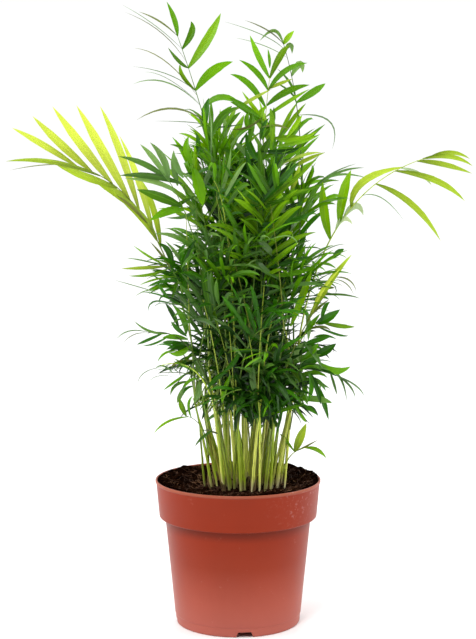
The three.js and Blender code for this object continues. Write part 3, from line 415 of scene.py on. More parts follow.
# Random numbers: a plain congruential generator, the same as in the solids.
SEED_FACTOR = 2654435761
FACTOR = 1664525
ADDEND = 1013904223
MODULUS = 2 ** 32
SKIPPED = 3  # numbers thrown away at the start of a stream
STEM_SEED = 100
TIER_SEED = 1000
YOUNG_SEED = 5000
YOUNG_SEED_STEP = 700
TINT_SEED = 9000
FROND_SEED = 20000
FROND_SEED_STEP = 37
SKIN_SEED = 300
CRUMB_SEED = 71
FIBRE_SEED = 72

WAY_SPREAD = 0.5  # radians over which the way that a stem leans varies from straight outwards
GIRTH = (0.85, 0.3)  # least thickness of a stem beside the plain one's, and how much more it may be


def stream(seed):
    """Seeded random numbers from 0 to 1."""
    state = (seed * SEED_FACTOR) % MODULUS

    def draw():
        nonlocal state
        state = (state * FACTOR + ADDEND) % MODULUS
        return state / MODULUS

    for _ in range(SKIPPED):
        draw()
    return draw


def varied(draw, low, spread, power=1):
    """A random value from low to low + spread; a power above 1 makes most of them low."""
    return low + spread * draw() ** power


def unit(v):
    return v / np.linalg.norm(v)


def point(*xyz):
    return np.array(xyz, float)


def level_way(turn):
    """The level direction at an angle."""
    return point(math.cos(turn), math.sin(turn), 0)


def ring_turns(count):
    """The angles of a ring of points."""
    return TAU * np.arange(count) / count


def swing(one, two, angle):
    """A direction turned from one towards two, which is square to it."""
    return one * math.cos(angle) + two * math.sin(angle)


def bearing(foot, tip):
    """The level angle at which a stalk's tip lies from its foot."""
    return math.atan2(tip[1] - foot[1], tip[0] - foot[0])


def from_clump(seat):
    """A point's level distance from the middle of the clump."""
    return math.hypot(seat[0] - CLUMP_X, seat[1] - CLUMP_Y)


def along(curve, t):
    """The point at t on the curve from foot by bend to tip."""
    u = 1 - t
    return curve["foot"] * (u * u) + curve["bend"] * (2 * u * t) + curve["tip"] * (t * t)


def heading(curve, t):
    return unit(curve["foot"] * (t - 1) + curve["bend"] * (1 - 2 * t) + curve["tip"] * t)


def stem_plan(i):
    """Where a stem stands, which way it leans and how tall it is."""
    draw = stream(STEM_SEED + i)
    share = math.sqrt((i + 0.5) / STEMS)
    turn = i * GOLDEN
    lean = math.radians(LEAN_IN + (LEAN_OUT - LEAN_IN) * share)
    height = STEM_LOW + STEM_SPREAD * draw() - STEM_SHORTEN * share
    way = turn + WAY_SPREAD * (draw() - 0.5)
    girth = varied(draw, *GIRTH)
    x = CLUMP_X + CLUMP_R * share * math.cos(turn)
    y = CLUMP_Y + CLUMP_R * share * math.sin(turn)
    out = height * math.tan(lean)
    return dict(
        index=i,
        way=way,
        girth=girth,
        foot=point(x, y, SOIL_Z + GAP),
        bend=point(x + STEM_BOW * out * math.cos(way), y + STEM_BOW * out * math.sin(way),
                   SOIL_Z + 0.5 * height),
        tip=point(x + out * math.cos(way), y + out * math.sin(way), SOIL_Z + height),
    )


def stalk_foot(stem, depth):
    """Where a frond's stalk starts, inside the sheath of its stem."""
    return stem["tip"] + heading(stem, 1) * (SHAFT_H - depth) + point(0, 0, GAP)


def standout_plan(wish, stem, nudge):
    """A standout's curve, with its bend moved back by nudge and its tip by half as much."""
    return {
        **wish,
        "foot": stalk_foot(stem, STANDOUT_DEPTH),
        "bend": point(*wish["bend"]) + point(0, nudge, 0),
        "tip": point(*wish["tip"]) + point(0, 0.5 * nudge, 0),
    }


def tier_plan(stem, k, turn_by, seed=TIER_SEED):
    tier = TIERS[k]
    draw = stream(seed + stem["index"] * 10 + k)
    turn = stem["way"] + math.radians(tier["turn"] + TURN_SPREAD * (draw() - 0.5) + turn_by)
    reach = tier["reach"] + tier["spread"] * draw()
    foot = stalk_foot(stem, TIER_DEPTH + TIER_DEEPER * k)
    tip = point(
        CLUMP_X + reach * math.cos(turn),
        CLUMP_Y + reach * math.sin(turn),
        tier["top"] + tier["rise"] * draw(),
    )
    tuck = tier["tuck"] + TUCK_SPREAD * draw()
    lift = tier["lift"] + LIFT_SPREAD * draw()
    bend = point(
        foot[0] + (tip[0] - foot[0]) * tuck,
        foot[1] + (tip[1] - foot[1]) * tuck,
        foot[2] + max((tip[2] - foot[2]) * lift, LEAST_RISE),
    )
    fold = FOLD_LOW + FOLD_SPREAD * draw()
    leaf = tier["leaf"] * (LEAF_LOW + LEAF_SPREAD * draw())
    roll = ROLL_SPREAD * (draw() - 0.5)
    twist = (TWIST_SPREAD * (draw() - TWIST_BACK), TWIST_SPREAD * (draw() - TWIST_BACK))
    return dict(
        stem=stem["index"], name=f"tier_{k}", foot=foot, bend=bend, tip=tip, blade=tier["blade"],
        leaf=leaf, wide=tier["wide"], pairs=tier["pairs"], aim=bearing(foot, tip),
        roll=roll, fold=fold, twist=twist,
    )


def spine_points(curve):
    """Points along a stalk, and the length from its foot to each."""
    rough = np.linalg.norm(curve["bend"] - curve["foot"]) + np.linalg.norm(curve["tip"] - curve["bend"])
    count = math.ceil(rough / SPINE_STEP)
    points = np.array([along(curve, i / count) for i in range(count + 1)])
    runs = np.concatenate([[0], np.cumsum(np.linalg.norm(np.diff(points, axis=0), axis=1))])
    return points, runs


def nearest(one, two):
    """The least distance between two lists of points."""
    if not len(one) or not len(two):
        return math.inf
    return np.sqrt(((one[:, None] - two[None]) ** 2).sum(2)).min()


def is_clear(plan, stems, placed):
    points, runs = spine_points(plan)
    for stem in stems:
        if stem["index"] == plan["stem"]:
            continue
        sheath = stem["tip"] + heading(stem, 1) * SHAFT_H
        if min(nearest(points, stem["spine"]), nearest(points, sheath[None])) < STEM_CLEAR:
            return False
    for other in placed:
        spine, other_runs = other["spine"]
        if other["stem"] == plan["stem"]:
            gap = nearest(points[runs >= KIN_LENGTH], spine[other_runs >= KIN_LENGTH])
        else:
            gap = nearest(points, spine)
        if gap < SPINE_CLEAR:
            return False
    return True


def plan_fronds(stems):
    """Every frond that the solids have, on its stem."""
    placed = []

    def place(plans):
        """Takes the first of the plans that keeps its distance from stems and other fronds."""
        for plan in plans:
            if is_clear(plan, stems, placed):
                placed.append({**plan, "spine": spine_points(plan)})
                return

    for wish in STANDOUTS:
        place(standout_plan(wish, stems[wish["stem"]], nudge) for nudge in NUDGES)
    taken = {wish["stem"] for wish in STANDOUTS}
    for k in range(len(TIERS)):
        for stem in stems:
            if k > 0 or stem["index"] not in taken:
                place(tier_plan(stem, k, turn_by) for turn_by in TURNS)
    return placed


def frame_at(plan, t):
    """At a point of a frond: along its stalk, to its left, and out of its upper face."""
    ahead = heading(plan, t)
    flat = point(-math.sin(plan["aim"]), math.cos(plan["aim"]), 0)
    side = unit(flat - ahead * flat.dot(ahead))
    left = swing(side, np.cross(ahead, side), math.radians(plan["roll"]))
    return ahead, left, np.cross(ahead, left)


# -------- meshes

U_START = 0.01  # a shape's U goes from its whole number plus this
U_RUN = 0.98  # over this much
ASKEW = (0.3, 1, 0.1)  # a direction that no tube starts along


def linked(name, data):
    """A new object with the data, linked into the scene."""
    made = bpy.data.objects.new(name, data)
    bpy.context.scene.collection.objects.link(made)
    return made


class Batch:
    """The vertices, faces and UVs of many small shapes, joined into one mesh."""

    def __init__(self):
        self.points = []
        self.faces = []
        self.uvs = []
        self.count = 0
        self.number = 0

    def add_grid(self, grid, wrap=False, caps=False, v_of=None):
        """A grid of points, rows by columns. wrap joins the last column to the first. U runs from
        the shape's own whole number to just short of the next, V from 0 to 1 or as v_of says. Two
        columns with one V have no faces between them."""
        rows, columns = grid.shape[:2]
        u_of = self.number + U_START + U_RUN * np.arange(rows) / (rows - 1)
        self.points.append(grid.reshape(-1, 3))
        last = columns if wrap else columns - 1
        if v_of is None:
            v_of = np.arange(last + 1) / last
        for i in range(rows - 1):
            for j in range(last):
                if v_of[j] == v_of[j + 1]:
                    continue
                n = (j + 1) % columns
                a = self.count + i * columns
                self.faces.append((a + j, a + n, a + n + columns, a + j + columns))
                u0, u1, v0, v1 = u_of[i], u_of[i + 1], v_of[j], v_of[j + 1]
                self.uvs += [(u0, v0), (u0, v1), (u1, v1), (u1, v0)]
        if caps:
            for start, turned in ((0, True), ((rows - 1) * columns, False)):
                ring = [self.count + start + j for j in range(columns)]
                self.faces.append(tuple(reversed(ring)) if turned else tuple(ring))
                self.uvs += [(u_of[0 if turned else -1], 0.5)] * columns
        self.count += rows * columns
        self.number += 1

    def add_mesh(self, points, faces):
        self.points.append(np.asarray(points, float))
        for face in faces:
            self.faces.append(tuple(self.count + n for n in face))
            self.uvs += [(0.0, 0.0)] * len(face)
        self.count += len(points)

    def make(self, name, material, smooth=True):
        mesh = bpy.data.meshes.new(name)
        mesh.from_pydata((np.concatenate(self.points) * MM).tolist(), [], self.faces)
        layer = mesh.uv_layers.new(name="UVMap")
        layer.data.foreach_set("uv", np.array(self.uvs, np.float32).ravel())
        mesh.polygons.foreach_set("use_smooth", [smooth] * len(mesh.polygons))
        mesh.materials.append(material)
        mesh.validate()
        return linked(name, mesh)


def smoothed(share, knots):
    """A smooth curve through (place, value) knots."""
    places, values = zip(*knots)
    t = np.asarray(share, float)
    k = np.clip(np.searchsorted(places, t, side="right") - 1, 0, len(places) - 2)
    places, values = np.array(places), np.array(values)
    f = (t - places[k]) / (places[k + 1] - places[k])
    f = f * f * (3 - 2 * f)
    return values[k] + (values[k + 1] - values[k]) * f


def tube(points, radii, sides):
    """A round tube's grid through points, kept from turning about its own line."""
    points = np.asarray(points, float)
    tangents = np.gradient(points, axis=0)
    tangents /= np.linalg.norm(tangents, axis=1, keepdims=True)
    side = unit(np.cross(tangents[0], point(*ASKEW)))
    turns = ring_turns(sides)
    grid = np.zeros((len(points), sides, 3))
    for i, ahead in enumerate(tangents):
        side = unit(side - ahead * side.dot(ahead))
        up = np.cross(ahead, side)
        ring = np.outer(np.cos(turns), side) + np.outer(np.sin(turns), up)
        grid[i] = points[i] + ring * np.asarray(radii[i]).reshape(-1, 1)
    return grid


# -------- materials


def shader(name, base, roughness, bump=0.0, **values):
    """A material with one Principled shader, its tree and its nodes by name."""
    material = bpy.data.materials.new(name)
    material.use_nodes = True
    tree = material.node_tree
    principled = tree.nodes["Principled BSDF"]
    principled.inputs["Base Color"].default_value = (*base, 1)
    principled.inputs["Roughness"].default_value = roughness
    for key, value in values.items():
        principled.inputs[key.replace("_", " ")].default_value = value
    return material, tree, principled


def node(tree, kind, **values):
    made = tree.nodes.new(kind)
    for key, value in values.items():
        if key in made.inputs:
            made.inputs[key].default_value = value
        else:
            setattr(made, key, value)
    return made


def ramp(tree, source, stops):
    """A colour ramp fed by source, with (place, colour) stops."""
    made = tree.nodes.new("ShaderNodeValToRGB")
    elements = made.color_ramp.elements
    while len(elements) > 1:
        elements.remove(elements[-1])
    for i, (place, colour) in enumerate(stops):
        element = elements[0] if i == 0 else elements.new(place)
        element.position = place
        element.color = (*colour, 1)
    tree.links.new(source, made.inputs["Fac"])
    return made.outputs["Color"]


def greys(tree, source, stops):
    """A ramp of greys fed by source, with (place, brightness) stops."""
    return ramp(tree, source, [(place, (value,) * 3) for place, value in stops])


def noise_of(tree, vector, scale, detail=4.0, rough=0.55):
    made = node(tree, "ShaderNodeTexNoise", Scale=scale, Detail=detail, Roughness=rough)
    tree.links.new(vector, made.inputs["Vector"])
    return made.outputs["Fac"]


def stretched(tree, source, scale):
    """Coordinates scaled on each axis, so that a pattern is drawn out."""
    made = tree.nodes.new("ShaderNodeMapping")
    made.inputs["Scale"].default_value = scale
    tree.links.new(source, made.inputs["Vector"])
    return made.outputs["Vector"]


def raised(tree, principled, height, strength, distance):
    made = node(tree, "ShaderNodeBump", Strength=strength, Distance=distance)
    tree.links.new(height, made.inputs["Height"])
    tree.links.new(made.outputs["Normal"], principled.inputs["Normal"])
    return made


def shade(colour, factor):
    return tuple(min(1.0, c * factor) for c in colour)


def feed(tree, target, value):
    """Gives an input a socket, a colour or a plain number."""
    if isinstance(value, bpy.types.NodeSocket):
        tree.links.new(value, target)
    else:
        target.default_value = (*value, 1) if isinstance(value, tuple) else value


def calculated(tree, operation, *terms):
    """The result of a Math node on sockets or plain numbers."""
    made = node(tree, "ShaderNodeMath", operation=operation)
    for target, term in zip(made.inputs, terms):
        feed(tree, target, term)
    return made.outputs[0]


def mixed(tree, kind, factor, one, two):
    """A colour mix. factor, one and two are sockets or plain values."""
    made = node(tree, "ShaderNodeMix", data_type="RGBA", blend_type=kind)
    for key, value in (("Factor", factor), ("A", one), ("B", two)):
        feed(tree, made.inputs[key], value)
    return made.outputs["Result"]


def times(tree, one, two):
    return mixed(tree, "MULTIPLY", 1.0, one, two)


def mapped(tree, source, low, high, to_low, to_high):
    made = node(tree, "ShaderNodeMapRange")
    for key, value in (("From Min", low), ("From Max", high), ("To Min", to_low), ("To Max", to_high)):
        made.inputs[key].default_value = value
    tree.links.new(source, made.inputs["Value"])
    return made.outputs["Result"]


def axes_of(tree, vector):
    """The X, Y and Z of a vector."""
    split = tree.nodes.new("ShaderNodeSeparateXYZ")
    tree.links.new(vector, split.inputs[0])
    return split.outputs["X"], split.outputs["Y"], split.outputs["Z"]


def object_place(tree):
    return tree.nodes.new("ShaderNodeTexCoord").outputs["Object"]


def per_leaflet(tree):
    """The UV map, the place along and across a leaflet, and a random value of its own. Each leaflet
    has its own whole number in U, so what is left of U runs along it."""
    uv = node(tree, "ShaderNodeUVMap", uv_map="UVMap").outputs["UV"]
    number, across, _ = axes_of(tree, uv)
    own = node(tree, "ShaderNodeTexWhiteNoise", noise_dimensions="1D")
    tree.links.new(calculated(tree, "FLOOR", number), own.inputs["W"])
    return uv, calculated(tree, "FRACT", number), across, own.outputs["Value"]


LEAF_ROUGH = 0.37
LEAF_GLOSS = 0.26
VEIN_SCALE = (1.5, 30, 1)  # of the veins along and across a leaflet
VEIN_STOPS = ((0.25, 0.72), (0.75, 1.18))  # place in the pattern, and brightness there
VEIN_STRENGTH = 0.30
VEIN_DEPTH = 0.00015  # metres
PATCH_SCALE = 40.0
PATCH_STOPS = ((0.32, 0.78), (0.70, 1.20))
RIB = (0.02, 0.08, 0.45, 0.0)  # the paler midrib: V from the middle where it fades and ends, share at each
# Share of leaflets, and how much brighter than the plain tint they are.
LEAF_TONES = ((0.0, -0.60), (0.35, -0.22), (0.70, 0.20), (0.88, 0.40), (1.0, 0.65))
YELLOWER_FROM = 0.8  # share of leaflets that aren't yellower
DRY_TIP = (1.35, 0.95, 0.80)  # what the colour is multiplied by at the tip


def leaf_material(name, base, glow, through, root, differ):
    """A leaf with fine lengthwise veins and a slightly paler midrib, which lets some light through.
    Leaflets differ in brightness, and some are yellower than others. Each is darker at its foot, partly
    its own colour and partly painted shade."""
    material, tree, principled = shader(name, base, LEAF_ROUGH, Specular_IOR_Level=LEAF_GLOSS)
    uv, run, across, own = per_leaflet(tree)
    veins = noise_of(tree, stretched(tree, uv, VEIN_SCALE), 1.0, 2.0)
    patches = noise_of(tree, object_place(tree), PATCH_SCALE, 3.0)
    aside = calculated(tree, "ABSOLUTE", calculated(tree, "SUBTRACT", across, 0.5))
    yellower = (base[0] * (1 + 0.4 * differ), base[1] * (1 + 0.1 * differ), base[2])
    tones = []
    for place, change in LEAF_TONES:
        tones.append((place, shade(yellower if place > YELLOWER_FROM else base, 1 + change * differ)))
    clouded = times(tree, ramp(tree, own, tones), greys(tree, patches, PATCH_STOPS))
    lined = times(tree, clouded, greys(tree, veins, VEIN_STOPS))
    # Darker at the foot, by root: partly the leaflet's own colour, partly painted shade where it meets the
    # stalk; drying at the tip.
    lengthwise = ramp(tree, run, [(0.0, (root * 0.9, root, root)), (0.5, (1.0,) * 3), (0.95, (1.1,) * 3),
                                  (1.0, DRY_TIP)])
    pale = tuple(min(1.0, 0.6 * a + 0.4 * b + 0.02) for a, b in zip(base, glow))
    colour = mixed(tree, "MIX", mapped(tree, aside, *RIB), times(tree, lined, lengthwise), pale)
    tree.links.new(colour, principled.inputs["Base Color"])
    raised(tree, principled, veins, VEIN_STRENGTH, VEIN_DEPTH)
    back = tree.nodes.new("ShaderNodeBsdfTranslucent")
    own_glow = greys(tree, own, [(0.0, 1 - 0.3 * differ), (1.0, 1 + 0.2 * differ)])
    tree.links.new(times(tree, times(tree, glow, lengthwise), own_glow), back.inputs["Color"])
    both = tree.nodes.new("ShaderNodeMixShader")
    both.inputs["Fac"].default_value = through
    tree.links.new(principled.outputs[0], both.inputs[1])
    tree.links.new(back.outputs[0], both.inputs[2])
    tree.links.new(both.outputs[0], tree.nodes["Material Output"].inputs["Surface"])
    return material


STALK_ROUGH = 0.40
STALK_GLOSS = 0.28
STREAK_SCALE = (1.6, 7, 1)  # of the streaks along and across a stalk
STREAK_STRENGTH = 0.4
STREAK_DEPTH = 0.0008  # metres
OWN_STOPS = ((0.0, 0.42), (1.0, 1.4))  # how much stalks differ in brightness
SPOT_SCALE = 130.0
SPOT_COLOUR = (0.16, 0.09, 0.03)


def stalk_material(name, foot, middle, top, streak=0.6, spots=0.0):
    """A smooth stalk with lengthwise streaks, whose colour goes from its foot's to its top's."""
    material, tree, principled = shader(name, top, STALK_ROUGH, Specular_IOR_Level=STALK_GLOSS)
    uv, run, _, own = per_leaflet(tree)
    streaks = noise_of(tree, stretched(tree, uv, STREAK_SCALE), 1.0, 3.0)
    tone = ramp(tree, run, [(0.0, foot), (0.05, foot), (0.16, middle), (0.5, middle), (1.0, top)])
    streaked = ramp(tree, streaks, [(0.36, (streak * 0.8, streak, streak * 0.5)), (0.48, (0.9,) * 3),
                                    (0.62, (1.2,) * 3)])
    lined = times(tree, times(tree, tone, greys(tree, own, OWN_STOPS)), streaked)
    mask = greys(tree, noise_of(tree, object_place(tree), SPOT_SCALE), [(0.56, 0.0), (0.70, spots)])
    tree.links.new(mixed(tree, "MIX", mask, lined, SPOT_COLOUR), principled.inputs["Base Color"])
    raised(tree, principled, streaks, STREAK_STRENGTH, STREAK_DEPTH)
    return material


# Leaf tints: a leaf's own colour, the colour of the light that comes through it, how much of that
# there is, how bright the leaf is at its foot (partly painted shade there), and how much leaflets differ.
LEAF_TINTS = {
    "deep": ((0.008, 0.040, 0.001), (0.03, 0.15, 0.001), 0.16, 0.9, 1.0),
    "dark": ((0.023, 0.108, 0.001), (0.07, 0.34, 0.001), 0.24, 0.9, 1.0),
    "green": ((0.070, 0.220, 0.001), (0.20, 0.53, 0.001), 0.28, 0.8, 1.0),
    "bright": ((0.125, 0.295, 0.002), (0.34, 0.66, 0.002), 0.33, 0.7, 0.8),
    "olive": ((0.120, 0.150, 0.025), (0.20, 0.26, 0.03), 0.26, 0.9, 0.5),
    # grey and silver: pale sheen painted into the colour, for sky reflected off some leaflets.
    "grey": ((0.078, 0.185, 0.030), (0.13, 0.34, 0.02), 0.26, 0.9, 0.7),
    "silver": ((0.150, 0.285, 0.080), (0.25, 0.46, 0.08), 0.30, 0.9, 0.4),
    "pale": ((0.38, 0.48, 0.25), (0.55, 0.70, 0.35), 0.36, 1.0, 0.3),
    "lime": ((0.235, 0.350, 0.018), (0.56, 0.77, 0.04), 0.36, 0.45, 0.35),
    "yellow": ((0.455, 0.585, 0.050), (0.82, 0.93, 0.09), 0.38, 0.50, 0.12),
}
# The next darker tint, used for painted shade.
DARKER = {"bright": "green", "green": "dark", "dark": "deep"}
INNER = [(54.0, 345.0), (41.0, 460.0), (30.0, 500.0)]  # within this of the clump's middle, below this, a tint is a step darker as painted shade
CORE_X, CORE_Z = 30.0, 458.0  # middle of a patch of painted shade in the crown, seen from the front
CORE_R = 30.0  # its radius
SHEEN = 0.07  # share of leaflets given the silver tint, a painted sheen
# Tints dealt out to each tier's fronds: brighter high up and darker low down, as painted light and shade in
# the crown.
TIER_TINTS = {
    "tier_0": ("bright", "green", "bright", "green"),
    "tier_1": ("green", "dark", "green", "grey", "dark"),
    "tier_2": ("dark", "deep", "dark", "green", "grey"),
}

# Stalks: colour at the foot, in the middle and at the tip.
STALK_COLOURS = {
    "stalk_green": ((0.24, 0.32, 0.06), (0.15, 0.26, 0.03), (0.08, 0.19, 0.02)),
    "stalk_lime": ((0.40, 0.48, 0.08), (0.36, 0.46, 0.05), (0.40, 0.50, 0.04)),
}
LIME_FRONDS = ("left_yellow", "right_arch", "right_pale", "sprig_right", "petiole")
LIME_STALKS = 0.2  # share of the other fronds whose stalk is lime too
GREEN_STALKED = ("left_small",)  # these never are

# -------- leaflets and fronds

# Half width of a leaflet at places along it, as a share of its greatest half width.
LEAF_KNOTS = [(0, 0.22), (0.11, 0.54), (0.28, 0.88), (0.46, 1.0), (0.66, 0.90), (0.83, 0.57), (0.94, 0.26),
              (1, 0.015)]
LEAF_RUN = np.linspace(0, 1, LEAF_ROWS)
LEAF_HALF = smoothed(LEAF_RUN, LEAF_KNOTS)
LEAF_V = 0.5 + 0.5 * LEAF_ACROSS
DOWN = point(0, 0, -1)
DROOP_POWER = 1.5  # how suddenly a leaflet droops towards its end
CURL_POWER = 1.4  # how suddenly its end rolls under
BOW_FROM = 0.25  # share of its length where a bowed leaflet heads straight on


def leaf_row(place, side, up, half, cup):
    """A row of points across a leaflet, whose edges stand above its rib by cup of its half width."""
    rise = cup * half * np.abs(LEAF_ACROSS)
    return place + np.outer(LEAF_ACROSS * half, side) + np.outer(rise, up)


def leaflet_grid(seat, way, edge, length, width, droop, bow, coil):
    """A leaflet's grid of points. droop: how far it hangs; bow: how far it curves to its front
    edge; coil: radians that its end rolls under."""
    place = seat.copy()
    grid = np.zeros((LEAF_ROWS, len(LEAF_ACROSS), 3))
    step = length / (LEAF_ROWS - 1)
    for i, s in enumerate(LEAF_RUN):
        ahead = unit(way + DOWN * (droop * s ** DROOP_POWER) + edge * (bow * (s - BOW_FROM)))
        under = np.cross(ahead, unit(edge - ahead * edge.dot(ahead)))
        if under[2] > 0:
            under = -under
        if coil and s > CURL_FROM:
            bend = coil * ((s - CURL_FROM) / (1 - CURL_FROM)) ** CURL_POWER
            ahead, under = swing(ahead, under, bend), swing(under, -ahead, bend)
        side = unit(np.cross(under, ahead))
        grid[i] = leaf_row(place, side, -under, 0.5 * width * LEAF_HALF[i], CUP)
        place = place + ahead * step
    return grid


def leaf_envelope(share):
    """Length of the leaflets at a place on the blade, as a share of the longest."""
    before = share < PEAK
    from_peak = (PEAK - share) / PEAK if before else (share - PEAK) / (1 - PEAK)
    loss = FIRST_LOSS if before else 1 - LAST
    return 1 - loss * from_peak * from_peak


def tint_at(seat, tint):
    """A leaflet's tint: its frond's, or some steps darker as painted shade deep inside the crown and in a
    patch of it seen from the front.
    """
    for reach, top in INNER:
        if from_clump(seat) < reach and seat[2] < top:
            tint = DARKER.get(tint, tint)
    if math.hypot(seat[0] - CORE_X, seat[2] - CORE_Z) < CORE_R:
        tint = DARKER.get(tint, tint)
    return tint


def in_skirt(seat):
    return seat[2] < SKIRT_TOP and from_clump(seat) > np.interp(seat[2], SKIRT_Z, SKIRT_R)


def missing_at(seat):
    """Share of the leaflets that are missing at a place."""
    if any(seat[0] < x and seat[2] < z for x, z in BARE):
        return BARE_GONE
    if seat[0] < OPEN_X and seat[2] > OPEN_Z:
        return OPEN_GONE
    return SKIRT_GONE if in_skirt(seat) else 0.0


def bent_leaflet(curve, width, turn):
    """A leaflet's grid of points along a curve, turned about it by turn radians from facing front."""
    grid = np.zeros((LEAF_ROWS, len(LEAF_ACROSS), 3))
    for i, s in enumerate(LEAF_RUN):
        ahead = heading(curve, s)
        level = unit(np.cross(ahead, point(0, 1, 0)))
        side = swing(level, np.cross(level, ahead), turn)
        up = np.cross(ahead, side)
        grid[i] = leaf_row(along(curve, s), side, up, 0.5 * width * LEAF_HALF[i], CUP * math.cos(turn))
    return grid


POSED_ROWS = 80  # points of a stalk's blade that a posed leaflet may start from
POSED_END = 0.995  # how far along the stalk the last of them is
POSED_MIDDLE = 0.6  # share of its reach to the front or back that its middle has


def grow_posed(plan, leaves, draw):
    """Adds the leaflets of a frond that stands clear of the crown, and returns the tints used."""
    line = np.array([along(plan, t) for t in np.linspace(1 - plan["blade"], POSED_END, POSED_ROWS)])
    used = set()
    for foot_x, foot_z, middle_x, middle_z, tip_x, tip_z, width, turn, tint in POSED[plan["name"]]:
        gaps = np.hypot(line[:, 0] - foot_x, line[:, 2] - foot_z)
        seat = line[np.argmin(gaps)]
        if gaps.min() > POSED_SNAP:
            seat = point(foot_x, seat[1], foot_z)
        out = POSED_DEPTH * math.hypot(tip_x - foot_x, tip_z - foot_z) * (draw() - 0.5)
        middle = point(middle_x, seat[1] + POSED_MIDDLE * out, middle_z)
        tip = point(tip_x, seat[1] + out, tip_z)
        curve = dict(foot=seat, bend=2 * middle - 0.5 * (seat + tip), tip=tip)
        leaves[tint].add_grid(bent_leaflet(curve, width, math.radians(turn)), v_of=LEAF_V)
        used.add(tint)
    return used


STALK_ROWS = 30
STALK_SIDES = 6
STALK_TAPER = 0.72  # share of its thickness that a stalk loses to its tip
FEWEST_PAIRS = 3
BLADE_END = 0.992  # how far along the stalk the last leaflets stand
LAST_SEAT = 0.998  # and how far along any may stand

# How much leaflets of one frond differ, before its style's wild: place on the stalk, as a share of
# their spacing; angle to the stalk, fold and twist in degrees; length.
UNEVEN_PLACE = 0.5
UNEVEN_ANGLE = 22.0
UNEVEN_FOLD = 44.0
UNEVEN_TWIST = 90.0
UNEVEN_LENGTH = 0.34
LENGTH_MIDDLE = 0.55  # the draw at which a leaflet has its plain length
UNEVEN_SIDES = 0.5  # how far one side's leaflets may stand ahead of the other's
# Least value, and how much more it may be.
MOOD = (0.6, 0.8)  # how much a frond droops beside its style
WIDTH = (0.84, 0.32)
ROLL = (0.9, 1.9)  # radians that a leaflet's end rolls under where it does
SLIGHT_ROLL = 0.25  # most that it does elsewhere
BOW = 0.5
SEAT_DEPTH = 0.4  # how deep in its stalk a leaflet starts


def grow_frond(plan, tint, leaves, stalks, seed):
    """Adds a frond's leaflets and its stalk to their batches, and returns the tints used."""
    draw = stream(seed)
    steps = np.linspace(0, 1, STALK_ROWS)
    line = np.array([along(plan, t) for t in steps])
    radii = STALK_R * plan.get("scale", STALK_SCALE) * (1 - STALK_TAPER * steps)
    stalks.add_grid(tube(line, radii, STALK_SIDES), wrap=True, caps=True)
    if plan["name"] in POSED:
        return grow_posed(plan, leaves, draw)
    style = STYLES[plan["name"]]
    wild = style["wild"]
    start = 1 - plan["blade"]
    mood = varied(draw, *MOOD)
    ahead_of_other = UNEVEN_SIDES * (draw() - 0.5)
    pairs = max(FEWEST_PAIRS, round(plan["pairs"] * style["more"]))
    final = OPEN * (1 - CLOSING)
    used = set()
    for row, sideways in ((0, 1), (1, -1)):
        for j in range(pairs):
            share = j / (pairs - 1)
            ends = j == 0 or j == pairs - 1
            if draw() < style["gone"] and not ends:
                continue
            shift = 0
            if not ends:
                shift = (ahead_of_other * sideways + UNEVEN_PLACE * wild * (draw() - 0.5)) / pairs
            t = min(LAST_SEAT, start + (BLADE_END - start) * (share + shift))
            ahead, left, face = frame_at(plan, t)
            spread = math.radians(OPEN + (final - OPEN) * share + UNEVEN_ANGLE * wild * (draw() - 0.5))
            fold = math.radians(plan["fold"] + UNEVEN_FOLD * wild * (draw() - 0.5))
            way = swing(ahead, swing(left * sideways, face, fold), spread)
            size = plan["leaf"] * leaf_envelope(share) * style["size"]
            size *= 1 + UNEVEN_LENGTH * wild * (draw() - LENGTH_MIDDLE)
            broad = unit(ahead - way * ahead.dot(way))
            normal = np.cross(way, broad) * -sideways
            twist = math.radians(plan["twist"][row] + UNEVEN_TWIST * wild * (draw() - 0.5))
            edge = swing(broad, normal, twist)
            width = plan["wide"] * style["slim"] * varied(draw, *WIDTH)
            width *= math.sqrt(size / plan["leaf"])
            droop = style["hang"] * mood * (0.5 + draw())
            curl = draw()
            roll = varied(draw, *ROLL)
            coil = roll if curl < style["curl"] else SLIGHT_ROLL * curl
            bow = BOW * (draw() - 0.25)
            seat = along(plan, t) - way * SEAT_DEPTH
            if draw() < missing_at(seat):
                continue
            if in_skirt(seat):
                width *= SKIRT_SLIM
            # A few leaflets take the silver tint, a painted sheen; the rest their frond's tint.
            own = "silver" if draw() < SHEEN else tint_at(seat, tint)
            leaves[own].add_grid(leaflet_grid(seat, way, edge, size, width, droop, bow, coil), v_of=LEAF_V)
            used.add(own)
    return used


def young_plan(stem, n):
    """A small extra frond between the tiers, on the same stem and within the same reach."""
    k, turn_by, scale, out, drop, _ = YOUNG[n]
    plan = tier_plan(stem, k, turn_by, seed=YOUNG_SEED + YOUNG_SEED_STEP * n)
    middle = point(CLUMP_X, CLUMP_Y, 0)
    for key in ("bend", "tip"):
        level = point(0, 0, plan[key][2])
        plan[key] = middle + level + (plan[key] - middle - level) * out - point(0, 0, drop)
    plan["leaf"] *= scale
    plan["wide"] *= scale
    plan["scale"] = YOUNG_STALK * scale
    return plan


def low_plan(stems, n):
    """A small frond that hangs from the nearest stem over the feet of the others."""
    tip = point(*LOW_TIPS[n])
    stem = min(stems, key=lambda one: np.linalg.norm(one["tip"][:2] - tip[:2]))
    foot = along(stem, LOW_FROM)
    return dict(
        stem=stem["index"], name="tier_2", foot=foot, tip=tip, blade=LOW_BLADE,
        bend=point(*(0.5 * (foot + tip))[:2], tip[2] + LOW_RISE),
        leaf=LOW_LEAF, wide=LOW_WIDE, pairs=LOW_PAIRS, aim=bearing(foot, tip),
        roll=0, fold=LOW_FOLD, twist=(LOW_TWIST, LOW_TWIST), scale=LOW_STALK,
    )


def stem_name(prefix, i):
    return f"{prefix}_{i + 1:02d}"


